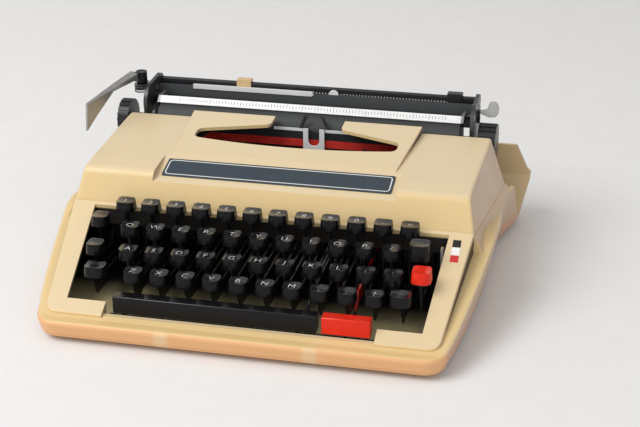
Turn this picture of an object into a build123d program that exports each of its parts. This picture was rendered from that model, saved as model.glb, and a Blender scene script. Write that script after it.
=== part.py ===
from build123d import *
from math import acos, asin, atan, atan2, cos, degrees, pi, radians, sin, sqrt, tan
import os

os.makedirs("parts", exist_ok=True)

# Portable typewriter: lower pan, key surround, lift-off ribbon cover, keyboard, type basket and carriage.
# The origin lies on the table under the middle of the body. +X is the typist's right, +Y the back, +Z up.
# Every size is in millimetres.

# Lower pan: plan half widths at its foot, rim heights along its side, and walls
body_depth = 286.0
rear_tuck = 4.0
pan_front_half = 143.5
pan_mid_half = 150.2
pan_mid_y = -70.0
pan_waist_half = 153.0
pan_waist_y = 8.0
pan_horn_half = 155.4
pan_flare_half = 162.5
pan_flare_y = 108.0
pan_rear_half = 166.0
pan_corner_radius = 15.0
pan_rear_radius = 11.0
pan_side_start_angle = 80.0
pan_flare_lean = 0.05
pan_foot_z = 7.0
pan_draft = 0.22
tray_z = 3.5
tray_inset = 9.0
pan_wall = 2.6
floor_thickness = 2.5
lip_z = 16.8
rim_start_y = -136.0
rim_crest_y = -32.0
rim_slope = 0.342
rim_dip_y = 45.0
rim_dip_z = 47.5
horn_y = 82.0
horn_z = 50.5
horn_slope = 0.25
notch_y = 113.0
notch_z = 13.0
flange_y = 134.0
flange_z = 43.0
lip_round = 3.0
foot_radius = 8.0
foot_x = 118.0
foot_y = 112.0
foot_chamfer = 0.8

# Key surround: the raised plate around the keyboard
mask_slope_angle = 26.0
mask_front_y = -133.5
mask_front_z = 19.5
mask_rear_y = -42.3
mask_front_half = 138.5
mask_rear_half = 148.6
mask_corner_radius = 9.0
mask_wall = 2.4
well_front_y = -122.4
well_rear_y = -44.9
well_front_half = 125.8
well_rear_half = 131.6
bay_left = -97.0
bay_right = 95.0
bay_rear_y = -109.5
bay_floor_z = 9.2
mask_round = 1.2
bar_front_y = -127.6
bar_gap = 0.5
seat_gap = 0.3

# Ribbon cover: the hood that lifts off
cover_front_y = -41.9
cover_rear_y = 77.5
cover_ridge_y = -31.0
cover_ridge_z = 86.5
cover_rear_z = 95.5
cover_side_rear_z = 90.0
cover_wall = 2.5
cover_low_front_half = 151.3
cover_low_rear_half = 159.3
cover_low_z = 50.0
cover_side_lean_front = 0.21
cover_side_lean_rear = 0.34
cover_seat_front_z = 62.0
cover_seat_rear_z = 54.0
cover_ridge_round = 8.0
cover_edge_round = 3.0
crease_front_x = 84.0
crease_rear_x = 92.0
crease_front_y = -13.0
cover_loft_z = 100.0
slot_left_x = -78.5
slot_right_x = 79.5
slot_mid_x = 3.0
slot_front_y = 24.5
slot_end_y = 31.5
slot_end_depth = 15.0
slot_end_round = 6.0
tongue_left_x = -25.0
tongue_right_x = 31.0
tongue_y = 62.0
tongue_round = 5.0
plate_setback = 18.2
plate_corner = 1.5
plate_length = 172.0
plate_width = 21.0
plate_thickness = 0.8
plate_tilt = 14.0
plate_centre_x = 0.5
recess_end_gap = 4.5
recess_front_z = 80.0
recess_front_y = -33.9
recess_length = 38.3

# Keyboard
key_pitch = 19.05
row_names = ["number_row", "upper_row", "home_row", "bottom_row"]
row_keys = [12, 11, 11, 10]
row_first_x = [-5.5 * key_pitch, -5.0 * key_pitch, -4.75 * key_pitch, -4.25 * key_pitch]
row_y = [-52.6, -72.0, -91.0, -109.5]
row_top_z = [72.0, 62.0, 52.8, 45.0]
cap_width = 13.8
cap_depth = 13.0
cap_height = 8.0
cap_front_round = 5.0
cap_rear_round = 2.5
cap_taper = 1.4
cap_dish = 0.9
cap_dish_radius = 24.0
margin_release_x = -121.0
shift_lock_x = -115.0
shift_cap_x = 108.5
shift_lever_x = 109.8
backspace_x = 115.0
tab_x = 119.5
space_arm_left_x = -83.34
space_arm_right_x = 40.48
repeat_arm_x = 73.8
small_cap = (12.5, 13.0, 8.0)
backspace_cap = (15.0, 14.0, 12.0)
tab_cap = (14.0, 14.0, 9.0)
shift_cap = (15.5, 13.0, 8.0)
margin_release_y = -63.0
margin_release_z = 63.7
shift_lock_z = 55.0
backspace_z = 67.5
tab_z = 56.6
shift_z = 46.5
space_left = -90.0
space_right = 54.0
repeat_left = 58.0
repeat_right = 91.0
bar_depth = 9.2
bar_height = 12.5
bar_low_z = 19.5
bar_round = 1.0
arm_low_z = 15.5
arm_top_z = 19.0
arm_rise_y = -92.0

# Key levers, their axle and comb
axle_y = 42.0
axle_z = 26.5
axle_radius = 2.0
lever_thickness = 1.4
lever_gap = 0.4
lever_low_z = 22.0
lever_top_z = 31.0
lever_rear_y = 48.0
hook_half = 2.3
stem_run = 11.0
stem_width = 6.5
stem_foot = 4.0
shift_bar = 4.0
shift_bar_gap = 1.5
comb_y = -22.0
comb_thickness = 3.0
comb_slot_z = 14.0
comb_top_z = 38.0

# Type basket
print_x = 6.5
print_z = 79.5
fan_y = 70.0
fan_radius = 46.0
fan_count = 44
fan_middle = 21
fan_step = 3.6
fan_gap = 0.25
segment_thickness = 8.0
segment_inside = 6.0
segment_outside = 9.0
segment_slot = 3.5
segment_foot_width = 60.0
segment_foot_top = 27.0
bar_pivot_depth = 2.5
typebar_thickness = 1.0
typebar_height = 3.0
type_width = 2.2
type_height = 7.0
type_depth = 4.3
rest_y = 27.0
rest_depth = 4.0
rest_gap = 1.8
rest_width = 2.5
rest_start = 32.0
rest_end = 78.0
guide_low_z = 34.0
guide_high_z = 88.0
guide_width = 17.0
guide_notch = 9.0
guide_notch_z = 74.0
guide_sheet = 1.2
card_y = 77.0
card_sheet = 0.6
card_foot_x = 10.0
card_tip_x = 4.5
card_tip_z = 99.0
card_width = 3.0
card_hole = 0.8
card_strip_x = 33.0

# Ribbon
spool_x = 88.0
spool_y = 10.0
spool_radius = 21.0
spool_pack = 14.0
spool_bore = 3.0
spool_low_z = 59.0
spool_high_z = 74.0
bearing_gap = 0.3
cup_radius = 23.0
cup_sheet = 1.2
ribbon_y = 76.2
ribbon_z = 78.6
ribbon_width = 12.7
ribbon_sheet = 0.3
ribbon_run_x = 78.0

# Drum, wheel and bell
drum_x = -70.0
drum_y = 98.0
drum_z = 26.0
drum_radius = 22.0
drum_height = 12.0
drum_pin = 3.0
wheel_y = 103.0
wheel_z = 38.0
wheel_radius = 16.0
wheel_teeth = 22
wheel_tooth = 1.6
wheel_height = 2.0
post_radius = 6.0
bell_x = 90.0
bell_y = 100.0
bell_z = 20.0
bell_radius = 20.0
bell_height = 12.0
bell_wall = 1.6
bell_post = 3.0
selector_y = -55.0
selector_top_z = 57.0
selector_pivot_y = -22.0
selector_pivot_z = 33.0
small_pin = 1.5

# Carriage
carriage_left = -133.0
carriage_right = 128.0
bed_front_y = 82.0
bed_rear_y = 124.0
bed_z = 51.0
bed_sheet = 2.0
bed_lip = 7.0
runner_length = 30.0
end_sheet = 3.0
plate_shoulder_z = 92.0
plate_top_z = 110.5
axis_y = 95.0
axis_z = 79.5
platen_radius = 17.0
platen_axle = 4.0
platen_left = -124.0
platen_right = 120.0
knob_left_x = -150.0
knob_left_length = 9.0
knob_left_radius = 15.0
knob_right_x = 134.0
knob_right_length = 14.0
knob_right_radius = 15.5
knob_ribs = 20
knob_groove = 1.6
ratchet_gap = 4.0
ratchet_sheet = 2.0
ratchet_radius = 14.0
ratchet_teeth = 20
feed_offset = 7.0
feed_z = 59.3
feed_rod = 1.8
feed_radius = 4.0
feed_length = 40.0
feed_spacing = 80.0
table_low_y = 113.0
table_low_z = 84.0
table_mid_y = 113.5
table_mid_z = 95.0
table_top_y = 115.0
table_top_z = 103.0
table_sheet = 1.2
support_left = -104.0
support_right = -3.0
support_width = 2.5
support_sheet = 0.8
bar_y = 121.5
bar_z = 103.5
bar_thickness = 4.0
bar_tall = 7.0
rack_y = 117.0
rack_z = 97.0
rack_tall = 5.0
rack_sheet = 2.0
rack_pitch = 5.08
rack_teeth = 44
rack_tooth = 3.0
stop_left_x = -62.0
stop_right_x = 111.0
stop_length = 12.0
stop_wall = 1.2
stop_rise = 2.5
bail_left = -126.5
bail_right = 122.2
bail_y = 88.0
bail_z = 96.6
bail_tilt = 40.0
bail_width = 6.5
bail_sheet = 0.8
bail_arm = 2.0
bail_eye = 4.0
bail_pin = 2.0
bail_pin_length = 10.0
bail_pivot_y = 106.0
bail_pivot_z = 96.0
lever_x = -141.5
lever_y = 96.0
lever_z = 119.0
lever_tip_x = -163.0
lever_tip_y = 25.0
lever_root = 5.0
lever_drop = 27.0
lever_paddle = 21.0
lever_sheet = 1.6
lever_boss = 4.5
lever_pin = 2.0
bracket_sheet = 3.0
release_y = 104.0
release_z = 96.0
release_sheet = 2.0
release_tab_z = 100.0
release_tab = 11.0
release_reach = 17.0

# Chassis
chassis_half = 127.0
chassis_sheet = 2.0
chassis_front_y = -30.0
chassis_front_z = 30.0
chassis_rear_y = 127.0
bar_top_z = 14.0
shelf_z = 57.5
shelf_front_y = -14.0
shelf_rear_y = 35.0
shelf_inner_x = 62.0
rail_z = 47.0
rail_height = 3.0
rail_width = 4.0
rail_front_y = 88.0
rail_rear_y = 118.0


def rim_height(y):
    """Height of the sloping rim shelf at a place along the side."""
    return lip_z + rim_slope * (y - rim_start_y)


def mask_height(y):
    """Height of the key surround's top plane."""
    return mask_front_z + tan(radians(mask_slope_angle)) * (y - mask_front_y)


front_y = -body_depth / 2
rear_y = body_depth / 2 - rear_tuck
rim_crest_z = rim_height(rim_crest_y)
pan_top_z = 70.0
pan_growth = pan_draft * (pan_top_z - pan_foot_z)
mouth_rear_half = 150.0
mouth_rear_y = 141.0
sill_width = 3.0
sill_reach = 3.0
panel_y = 132.0
panel_top_half = 161.0
panel_top_z = 65.0
wide = 2 * pan_rear_half


def pan_plan(grow):
    """Plan of the pan: a rounded front and sides that bow out to the back, mirrored about the middle."""
    with BuildSketch() as plan:
        with BuildLine():
            nose = Line((0, front_y - grow), (pan_front_half - pan_corner_radius, front_y - grow))
            turn = JernArc(nose @ 1, (1, 0), pan_corner_radius + grow, pan_side_start_angle)
            mid = (pan_mid_half + grow, pan_mid_y)
            waist = (pan_waist_half + grow, pan_waist_y)
            horn = (pan_horn_half + grow, horn_y)
            flare = (pan_flare_half + grow, pan_flare_y)
            back_corner = (pan_rear_half + grow, rear_y - pan_rear_radius)
            side = Spline(turn @ 1, mid, waist, horn, flare, back_corner, tangents=(turn % 1, (pan_flare_lean, 1)))
            tail = TangentArc(side @ 1, (pan_rear_half - pan_rear_radius, rear_y + grow), tangent=side % 1)
            Line(tail @ 1, (0, rear_y + grow))
            mirror(about=Plane.YZ)
        make_face()
    return plan.sketch


def rim_profile(drop):
    """Side view of what lies under the rim: lip, slope, dip, horn, notch and rear flange."""
    with BuildSketch() as profile:
        with BuildLine():
            Polyline((wide, -wide), (-wide, -wide), (-wide, lip_z - drop), (rim_start_y, lip_z - drop))
            slope = Line((rim_start_y, lip_z - drop), (rim_crest_y, rim_crest_z - drop))
            dip = (rim_dip_y, rim_dip_z - drop)
            horn = (horn_y, horn_z - drop)
            Spline(slope @ 1, dip, horn, tangents=((1, rim_slope), (1, horn_slope)))
            notch = (notch_y, notch_z - drop)
            flange = (flange_y, flange_z - drop)
            Polyline(horn, notch, flange, (wide, flange_z - drop), (wide, -wide))
        make_face()
    return profile.sketch


with BuildPart() as pan_form:
    with BuildSketch(Plane.XY.offset(pan_foot_z)):
        add(pan_plan(0))
    with BuildSketch(Plane.XY.offset(pan_top_z)):
        add(pan_plan(pan_growth))
    loft(ruled=True)
    with BuildSketch(Plane.YZ):
        add(rim_profile(0))
    extrude(amount=wide, both=True, mode=Mode.INTERSECT)

    rim_edges = pan_form.edges().filter_by(lambda e: e.center().Y < horn_y and e.center().Z > lip_z - 1)
    outer_rim = rim_edges.filter_by(lambda e: abs(e.center().X) > mask_front_half or e.center().Y < front_y)
    outer_rim = outer_rim.filter_by(lambda e: e.geom_type != GeomType.LINE or e.center().Y < front_y)
    fillet(outer_rim, lip_round)

# Space inside the pan, and the opening in its top under the key surround, the cover and the carriage
with BuildPart() as pan_space:
    with BuildSketch(Plane.XY.offset(pan_foot_z)):
        add(pan_plan(-pan_wall))
    with BuildSketch(Plane.XY.offset(pan_top_z)):
        add(pan_plan(pan_growth - pan_wall))
    loft(ruled=True)
    with BuildSketch(Plane.YZ):
        add(rim_profile(pan_wall))
    extrude(amount=wide, both=True, mode=Mode.INTERSECT)

with BuildPart() as pan_mouth:
    with BuildSketch(Plane.XY.offset(pan_foot_z)):
        with BuildLine():
            front = mask_front_y + mask_wall
            front_half = mask_front_half - mask_wall
            right = Line((front_half, front), (mouth_rear_half, mouth_rear_y))
            Polyline(right @ 1, (-mouth_rear_half, mouth_rear_y), (-front_half, front), right @ 0)
        make_face()
    extrude(amount=pan_top_z)


def cover_side_half(y, z):
    """Half width of the cover's outer side at a place, from its two leaning ends."""
    share = (y - cover_front_y) / (cover_rear_y - cover_front_y)
    front = cover_low_front_half - cover_side_lean_front * (z - cover_low_z)
    rear = cover_low_rear_half - cover_side_lean_rear * (z - cover_low_z)
    return front + share * (rear - front)


def polygon(points):
    """A flat face through a closed run of points."""
    with BuildSketch() as face:
        with BuildLine():
            Polyline(points, close=True)
        make_face()
    return face.sketch


def sill_section(y, half, seat_z, rim_z):
    """Section of the raised sill that the cover's side stands on, mirrored to both sides."""
    inner = cover_side_half(y, seat_z)
    foot_z = rim_dip_z - lip_round / 2
    outer = half + pan_draft * (rim_z - pan_foot_z) - sill_reach
    with BuildSketch() as section:
        points = [(inner - sill_width, foot_z), (inner - sill_width, seat_z), (inner, seat_z)]
        add(polygon(points + [(outer, rim_z), (outer, foot_z)]))
    return section.sketch


with BuildPart() as sill:
    with BuildSketch(Plane.XZ.offset(-cover_front_y)):
        add(sill_section(cover_front_y, pan_mid_half, cover_seat_front_z - seat_gap, rim_height(cover_front_y) - 1))
    with BuildSketch(Plane.XZ.offset(-cover_rear_y)):
        add(sill_section(cover_rear_y, pan_horn_half, cover_seat_rear_z - seat_gap, horn_z - 1))
    loft(ruled=True)
    mirror(about=Plane.YZ)

with BuildPart() as base_pan:
    add(pan_form.part)
    add(pan_space.part, mode=Mode.SUBTRACT)
    add(pan_mouth.part, mode=Mode.SUBTRACT)
    add(sill.part)
    # Tray under the walls, and the floor between them
    with BuildSketch(Plane.XY.offset(tray_z)):
        add(pan_plan(-tray_inset))
    extrude(amount=pan_foot_z - tray_z)
    with BuildSketch(Plane.XY.offset(pan_foot_z)):
        add(pan_plan(-pan_wall / 2))
    extrude(amount=-floor_thickness)
    # Rear panel behind the carriage, as wide as the pan allows at its foot
    with BuildSketch(Plane.XZ.offset(-panel_y)):
        low_half = pan_rear_half - pan_wall
        flange_half = low_half + pan_draft * (flange_z - pan_foot_z)
        add(polygon([(-low_half, pan_foot_z), (-flange_half, flange_z), (-panel_top_half, panel_top_z),
                     (panel_top_half, panel_top_z), (flange_half, flange_z), (low_half, pan_foot_z)]))
    extrude(amount=-pan_wall)
base_pan.part.label = "base_pan"
export_step(base_pan.part, "parts/base_pan.step")


# Four rubber feet under the tray
with BuildPart() as rubber_feet:
    with BuildSketch(Plane.XY):
        with GridLocations(2 * foot_x, 2 * foot_y, 2, 2):
            Circle(foot_radius)
    extrude(amount=tray_z)
    chamfer(rubber_feet.edges().group_by(Axis.Z)[0], foot_chamfer)
rubber_feet.part.label = "rubber_feet"
export_step(rubber_feet.part, "parts/rubber_feet.step")


def surround_plan(inset):
    """Plan of the key surround, with its two front corners rounded."""
    front = mask_front_y + inset
    rear = mask_rear_y - inset
    with BuildSketch() as plan:
        add(polygon([(-mask_front_half + inset, front), (mask_front_half - inset, front),
                     (mask_rear_half - inset, rear), (-mask_rear_half + inset, rear)]))
        fillet(plan.vertices().group_by(Axis.Y)[0], mask_corner_radius - inset)
    return plan.sketch


def surround_profile(top_drop, bottom_drop):
    """Side view of the key surround between the rim shelf and its own sloping top."""
    front = mask_front_y - mask_wall
    rear = mask_rear_y + mask_wall
    return polygon([(front, rim_height(front) - bottom_drop), (front, mask_height(front) - top_drop),
                    (rear, mask_height(rear) - top_drop), (rear, rim_height(rear) - bottom_drop)])


def bay_cheek():
    """Side view of the upright plate at each end of the space bar's bay."""
    front = mask_front_y + mask_wall
    return polygon([(front + seat_gap, bay_floor_z), (front + seat_gap, mask_height(front)),
                    (well_front_y, mask_height(well_front_y)), (well_front_y, bay_floor_z)])


def bay_floor():
    """Side view of the ledge before the space bar and the floor that the bar sinks over."""
    front = mask_front_y + mask_wall + seat_gap
    ledge = rim_height(front)
    return polygon([(front, bay_floor_z - mask_wall / 2), (front, ledge), (bar_front_y - bar_gap, ledge),
                    (bar_front_y - bar_gap, bay_floor_z), (bay_rear_y, bay_floor_z),
                    (bay_rear_y, bay_floor_z - mask_wall / 2)])


with BuildPart() as surround_space:
    with BuildSketch(Plane.XY):
        add(surround_plan(mask_wall))
    extrude(amount=pan_top_z)
    with BuildSketch(Plane.YZ):
        add(surround_profile(mask_wall, mask_wall))
    extrude(amount=wide, both=True, mode=Mode.INTERSECT)

with BuildPart() as key_surround:
    with BuildSketch(Plane.XY):
        add(surround_plan(0))
    extrude(amount=pan_top_z)
    with BuildSketch(Plane.YZ):
        add(surround_profile(0, 0))
    extrude(amount=wide, both=True, mode=Mode.INTERSECT)
    top_face = key_surround.faces().filter_by(lambda f: f.normal_at().Z > 0.5)[0]
    fillet(top_face.edges().filter_by(lambda e: e.center().Y < mask_rear_y - 1), mask_round)
    add(surround_space.part, mode=Mode.SUBTRACT)
    # Key well, and the lower bay in front of it for the space bar
    with BuildSketch(Plane.XY):
        add(polygon([(-well_front_half, well_front_y), (well_front_half, well_front_y),
                     (well_rear_half, well_rear_y), (-well_rear_half, well_rear_y)]))
    extrude(amount=pan_top_z, mode=Mode.SUBTRACT)
    with BuildSketch(Plane.XY):
        add(polygon([(bay_left, mask_front_y - 1), (bay_right, mask_front_y - 1),
                     (bay_right, well_front_y + 1), (bay_left, well_front_y + 1)]))
    extrude(amount=pan_top_z, mode=Mode.SUBTRACT)
    # Cheeks at the bay's two ends
    with BuildSketch(Plane.YZ.offset(bay_left - mask_wall)):
        add(bay_cheek())
    extrude(amount=mask_wall)
    with BuildSketch(Plane.YZ.offset(bay_right)):
        add(bay_cheek())
    extrude(amount=mask_wall)
    # Ledge in front of the space bar, and its floor below
    with BuildSketch(Plane.YZ.offset(bay_left - mask_wall)):
        add(bay_floor())
    extrude(amount=bay_right - bay_left + 2 * mask_wall)
key_surround.part.label = "key_surround"
export_step(key_surround.part, "parts/key_surround.step")


def cover_plan(z, inset, reach):
    """Plan of the cover at a height; an inner copy is inset on three sides and runs out past the back."""
    front = cover_front_y + inset
    rear = cover_rear_y + reach
    front_half = cover_side_half(front, z) - inset
    rear_half = cover_side_half(rear, z) - inset
    return polygon([(-front_half, front), (front_half, front), (rear_half, rear), (-rear_half, rear)])


def cover_profile(inset, reach, seat_drop):
    """Side view of the cover: seat line, leaning front, ridge and rising top."""
    rear = cover_rear_y + reach
    return polygon([(cover_front_y + inset, cover_seat_front_z - seat_drop),
                    (cover_ridge_y + inset / 2, cover_ridge_z - inset), (rear, cover_rear_z - inset),
                    (rear, cover_seat_rear_z - seat_drop)])


def crease_profile(drop):
    """Side view of what is cut off the cover's top on both sides of its raised middle."""
    rise = (cover_rear_z - cover_ridge_z) / (cover_rear_y - cover_ridge_y)
    start_z = cover_ridge_z + rise * (crease_front_y - cover_ridge_y)
    end = cover_rear_y + 1
    fall = (cover_side_rear_z - start_z) / (cover_rear_y - crease_front_y)
    return polygon([(crease_front_y, start_z - drop), (crease_front_y, wide),
                    (end, wide), (end, cover_side_rear_z + fall - drop)])


def recess_profile(grow):
    """Side view of the slanting recess that holds the name plate."""
    tilt = radians(plate_tilt)
    foot_y = recess_front_y - 4 * cos(tilt)
    foot_z = recess_front_z - 4 * sin(tilt) - grow
    back_y = recess_front_y + recess_length * cos(tilt) + grow
    back_z = recess_front_z + recess_length * sin(tilt) - grow
    return polygon([(foot_y, foot_z), (back_y, back_z), (back_y, wide), (foot_y, wide)])


def slot_plan():
    """Plan of the eye-shaped slot that runs out to the back between two tongues."""
    with BuildSketch() as plan:
        with BuildLine():
            front = ThreePointArc((slot_left_x, slot_end_y), (slot_mid_x, slot_front_y), (slot_right_x, slot_end_y))
            right_end = Line(front @ 1, (slot_right_x, slot_end_y + slot_end_depth))
            left_end = Line((slot_left_x, slot_end_y + slot_end_depth), front @ 0)
            right = Line(right_end @ 1, (tongue_right_x, tongue_y))
            left = Line((tongue_left_x, tongue_y), left_end @ 0)
            rear = cover_rear_y + 1
            Polyline(right @ 1, (tongue_right_x, rear), (tongue_left_x, rear), left @ 0)
        make_face()
        fillet(plan.vertices().filter_by(lambda v: abs(v.Y - tongue_y) < 1e-6), tongue_round)
        fillet(plan.vertices().filter_by(lambda v: v.X < slot_left_x + 1e-6 or v.X > slot_right_x - 1e-6), slot_end_round)
    return plan.sketch


with BuildPart() as crease_cut:
    with BuildSketch(Plane.XY):
        add(polygon([(crease_front_x, crease_front_y), (crease_rear_x, cover_rear_y + 1),
                     (wide, cover_rear_y + 1), (wide, crease_front_y)]))
    extrude(amount=wide)
    with BuildSketch(Plane.YZ):
        add(crease_profile(0))
    extrude(amount=wide, mode=Mode.INTERSECT)
    mirror(about=Plane.YZ)

with BuildPart() as cover_form:
    for z in (cover_low_z, cover_loft_z):
        with BuildSketch(Plane.XY.offset(z)):
            add(cover_plan(z, 0, 0))
    loft(ruled=True)
    with BuildSketch(Plane.YZ):
        add(cover_profile(0, 0, 0))
    extrude(amount=wide, both=True, mode=Mode.INTERSECT)
    ridge = cover_form.edges().filter_by(Axis.X).filter_by(lambda e: abs(e.center().Z - cover_ridge_z) < 1)
    fillet(ridge, cover_ridge_round)
    add(crease_cut.part, mode=Mode.SUBTRACT)
    side_top = cover_form.edges().filter_by(
        lambda e: abs(e.center().X) > crease_rear_x + cover_edge_round
        and e.center().Z > cover_seat_front_z + 1
        and e.length > cover_edge_round
        and abs(e.tangent_at(0.5).X) < 0.5
    )
    fillet(side_top, cover_edge_round)

with BuildPart() as cover_space:
    for z in (cover_low_z - 1, cover_loft_z):
        with BuildSketch(Plane.XY.offset(z)):
            add(cover_plan(z, cover_wall, 1))
    loft(ruled=True)
    with BuildSketch(Plane.YZ):
        add(cover_profile(cover_wall, 1, cover_low_z))
    extrude(amount=wide, both=True, mode=Mode.INTERSECT)
    with BuildSketch(Plane.XY):
        add(polygon([(crease_front_x, crease_front_y), (crease_rear_x, cover_rear_y + 1),
                     (wide, cover_rear_y + 1), (wide, crease_front_y)]))
        mirror(about=Plane.YZ)
    shoulder = extrude(amount=wide, mode=Mode.PRIVATE)
    with BuildSketch(Plane.YZ):
        add(crease_profile(cover_wall))
    slope = extrude(amount=wide, both=True, mode=Mode.PRIVATE)
    add(shoulder & slope, mode=Mode.SUBTRACT)
    with BuildSketch(Plane.YZ.offset(plate_centre_x)):
        add(recess_profile(cover_wall))
    extrude(amount=plate_length / 2 + recess_end_gap + cover_wall, both=True, mode=Mode.SUBTRACT)

# The recess is a little wider at its front than at its back
recess_half = plate_length / 2 + recess_end_gap
plate_plane = Plane(
    origin=(
        plate_centre_x,
        recess_front_y + plate_setback * cos(radians(plate_tilt)),
        recess_front_z + plate_setback * sin(radians(plate_tilt)),
    ),
    x_dir=(1, 0, 0),
    z_dir=(0, -sin(radians(plate_tilt)), cos(radians(plate_tilt))),
)

with BuildPart() as ribbon_cover:
    add(cover_form.part)
    add(cover_space.part, mode=Mode.SUBTRACT)
    with BuildSketch(Plane.XY):
        add(slot_plan())
    extrude(amount=wide, mode=Mode.SUBTRACT)
    with BuildSketch(Plane.YZ.offset(plate_centre_x)):
        add(recess_profile(0))
    extrude(amount=recess_half, both=True, mode=Mode.SUBTRACT)
ribbon_cover.part.label = "ribbon_cover"
export_step(ribbon_cover.part, "parts/ribbon_cover.step")

with BuildPart() as name_plate:
    with BuildSketch(plate_plane):
        RectangleRounded(plate_length, plate_width, plate_corner)
    extrude(amount=plate_thickness)
name_plate.part.label = "name_plate"
export_step(name_plate.part, "parts/name_plate.step")


# Chassis: two side plates, cross bars, spool shelves and carriage rail seats, riveted into one frame
with BuildPart() as chassis_frame:
    with BuildSketch(Plane.YZ.offset(chassis_half)):
        add(polygon([(chassis_front_y, pan_foot_z), (chassis_front_y, chassis_front_z),
                     (shelf_front_y, shelf_z), (shelf_rear_y, shelf_z), (rail_front_y - 12, rail_z),
                     (chassis_rear_y, rail_z), (chassis_rear_y, pan_foot_z)]))
    extrude(amount=-chassis_sheet)
    mirror(about=Plane.YZ)
    for cross_y, cross_z in ((chassis_front_y, bar_top_z), (axle_y - 24, bar_top_z), (chassis_rear_y, rail_z)):
        with BuildSketch(Plane.XZ.offset(-cross_y + (chassis_sheet if cross_y > 0 else -chassis_sheet))):
            with Locations((0, (pan_foot_z + cross_z) / 2)):
                Rectangle(2 * chassis_half, cross_z - pan_foot_z)
        extrude(amount=chassis_sheet, both=True)
    # Pin for the colour selector, on the right plate
    with BuildSketch(Plane.YZ.offset(chassis_half)):
        with Locations((selector_pivot_y, selector_pivot_z)):
            Circle(small_pin)
    extrude(amount=chassis_sheet + 2 * seat_gap)
    with BuildSketch(Plane.XY.offset(shelf_z)):
        for side in (-1, 1):
            with Locations((side * (shelf_inner_x + chassis_half) / 2, (shelf_front_y + shelf_rear_y) / 2)):
                Rectangle(chassis_half - shelf_inner_x, shelf_rear_y - shelf_front_y)
    extrude(amount=-chassis_sheet)
chassis_frame.part.label = "chassis_frame"
export_step(chassis_frame.part, "parts/chassis_frame.step")

with BuildPart() as carriage_rails:
    with BuildSketch(Plane.YZ.offset(-chassis_half)):
        for y in (rail_front_y, rail_rear_y):
            with Locations((y, rail_z + rail_height / 2)):
                Rectangle(rail_width, rail_height)
    extrude(amount=2 * chassis_half)
carriage_rails.part.label = "carriage_rails"
export_step(carriage_rails.part, "parts/carriage_rails.step")

with BuildPart() as key_lever_axle:
    with BuildSketch(Plane.YZ.offset(-chassis_half + chassis_sheet)):
        with Locations((axle_y, axle_z)):
            Circle(axle_radius)
    extrude(amount=2 * (chassis_half - chassis_sheet))
key_lever_axle.part.label = "key_lever_axle"
export_step(key_lever_axle.part, "parts/key_lever_axle.step")


def lever_xs(row):
    """Places of one row's keys across the machine."""
    return [row_first_x[row] + key_pitch * i for i in range(row_keys[row])]


side_lever_xs = [margin_release_x, shift_lock_x, -shift_lever_x, shift_lever_x, backspace_x, tab_x]
bar_lever_xs = [space_arm_left_x, space_arm_right_x, repeat_arm_x]
all_lever_xs = [x for row in range(4) for x in lever_xs(row)] + side_lever_xs + bar_lever_xs

# Guide comb: a slotted strip that keeps the key levers upright and in line
with BuildPart() as guide_comb:
    with BuildSketch(Plane.XZ.offset(-comb_y)):
        with Locations((0, (pan_foot_z + comb_top_z) / 2)):
            Rectangle(2 * (chassis_half - chassis_sheet), comb_top_z - pan_foot_z)
        with Locations(*[(x, (comb_slot_z + comb_top_z) / 2) for x in all_lever_xs]):
            Rectangle(lever_thickness + 2 * lever_gap, comb_top_z - comb_slot_z, mode=Mode.SUBTRACT)
    extrude(amount=comb_thickness / 2, both=True)
guide_comb.part.label = "guide_comb"
export_step(guide_comb.part, "parts/guide_comb.step")


def lever_outline(cap_y, cap_z):
    """Side view of a key lever: hooked over the axle at the back, a bar, and a slanted stem to its cap."""
    return [(axle_y - hook_half, lever_low_z), (axle_y - hook_half, axle_z + hook_half),
            (axle_y + hook_half, axle_z + hook_half), (axle_y + hook_half, lever_low_z),
            (lever_rear_y, lever_low_z), (lever_rear_y, lever_top_z), (cap_y + stem_run, lever_top_z),
            (cap_y + stem_width / 2, cap_z), (cap_y - stem_width / 2, cap_z), (cap_y + stem_foot, lever_low_z)]


def cap_outline(width, depth):
    """Plan of a key cap: a rounded front and a flatter back."""
    with BuildSketch() as plan:
        Rectangle(width, depth)
        fillet(plan.vertices().group_by(Axis.Y)[0], cap_front_round)
        fillet(plan.vertices().group_by(Axis.Y)[-1], cap_rear_round)
    return plan.sketch


def key_cap(width, depth, height):
    """A key cap standing on the origin, tapering upward, with a shallow hollow across its top."""
    with BuildPart() as cap:
        with BuildSketch(Plane.XY):
            add(cap_outline(width, depth))
        with BuildSketch(Plane.XY.offset(height)):
            add(cap_outline(width - cap_taper, depth - cap_taper))
        loft(ruled=True)
        with BuildSketch(Plane.YZ.offset(-width)):
            with Locations((0, height - cap_dish + cap_dish_radius)):
                Circle(cap_dish_radius)
        extrude(amount=2 * width, mode=Mode.SUBTRACT)
    return cap.part


def key_lever(cap_y, cap_z):
    """A key lever in the middle of the machine, a strip of sheet standing on edge."""
    with BuildPart() as lever:
        with BuildSketch(Plane.YZ):
            add(polygon(lever_outline(cap_y, cap_z)))
        extrude(amount=lever_thickness / 2, both=True)
    return lever.part


live_row = 2
live_key = 5
live_x = lever_xs(live_row)[live_key]

type_cap = key_cap(cap_width, cap_depth, cap_height)

for row, row_name in enumerate(row_names):
    xs = [x for x in lever_xs(row) if not (row == live_row and x == live_x)]
    cap_z = row_top_z[row] - cap_height
    with BuildPart() as row_caps:
        with Locations(*[(x, row_y[row], cap_z) for x in xs]):
            add(type_cap)
    row_caps.part.label = "key_caps_" + row_name
    export_step(row_caps.part, "parts/key_caps_" + row_name + ".step")
    row_lever = key_lever(row_y[row], cap_z)
    with BuildPart() as row_levers:
        with Locations(*[(x, 0, 0) for x in xs]):
            add(row_lever)
    row_levers.part.label = "key_levers_" + row_name
    export_step(row_levers.part, "parts/key_levers_" + row_name + ".step")

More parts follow.
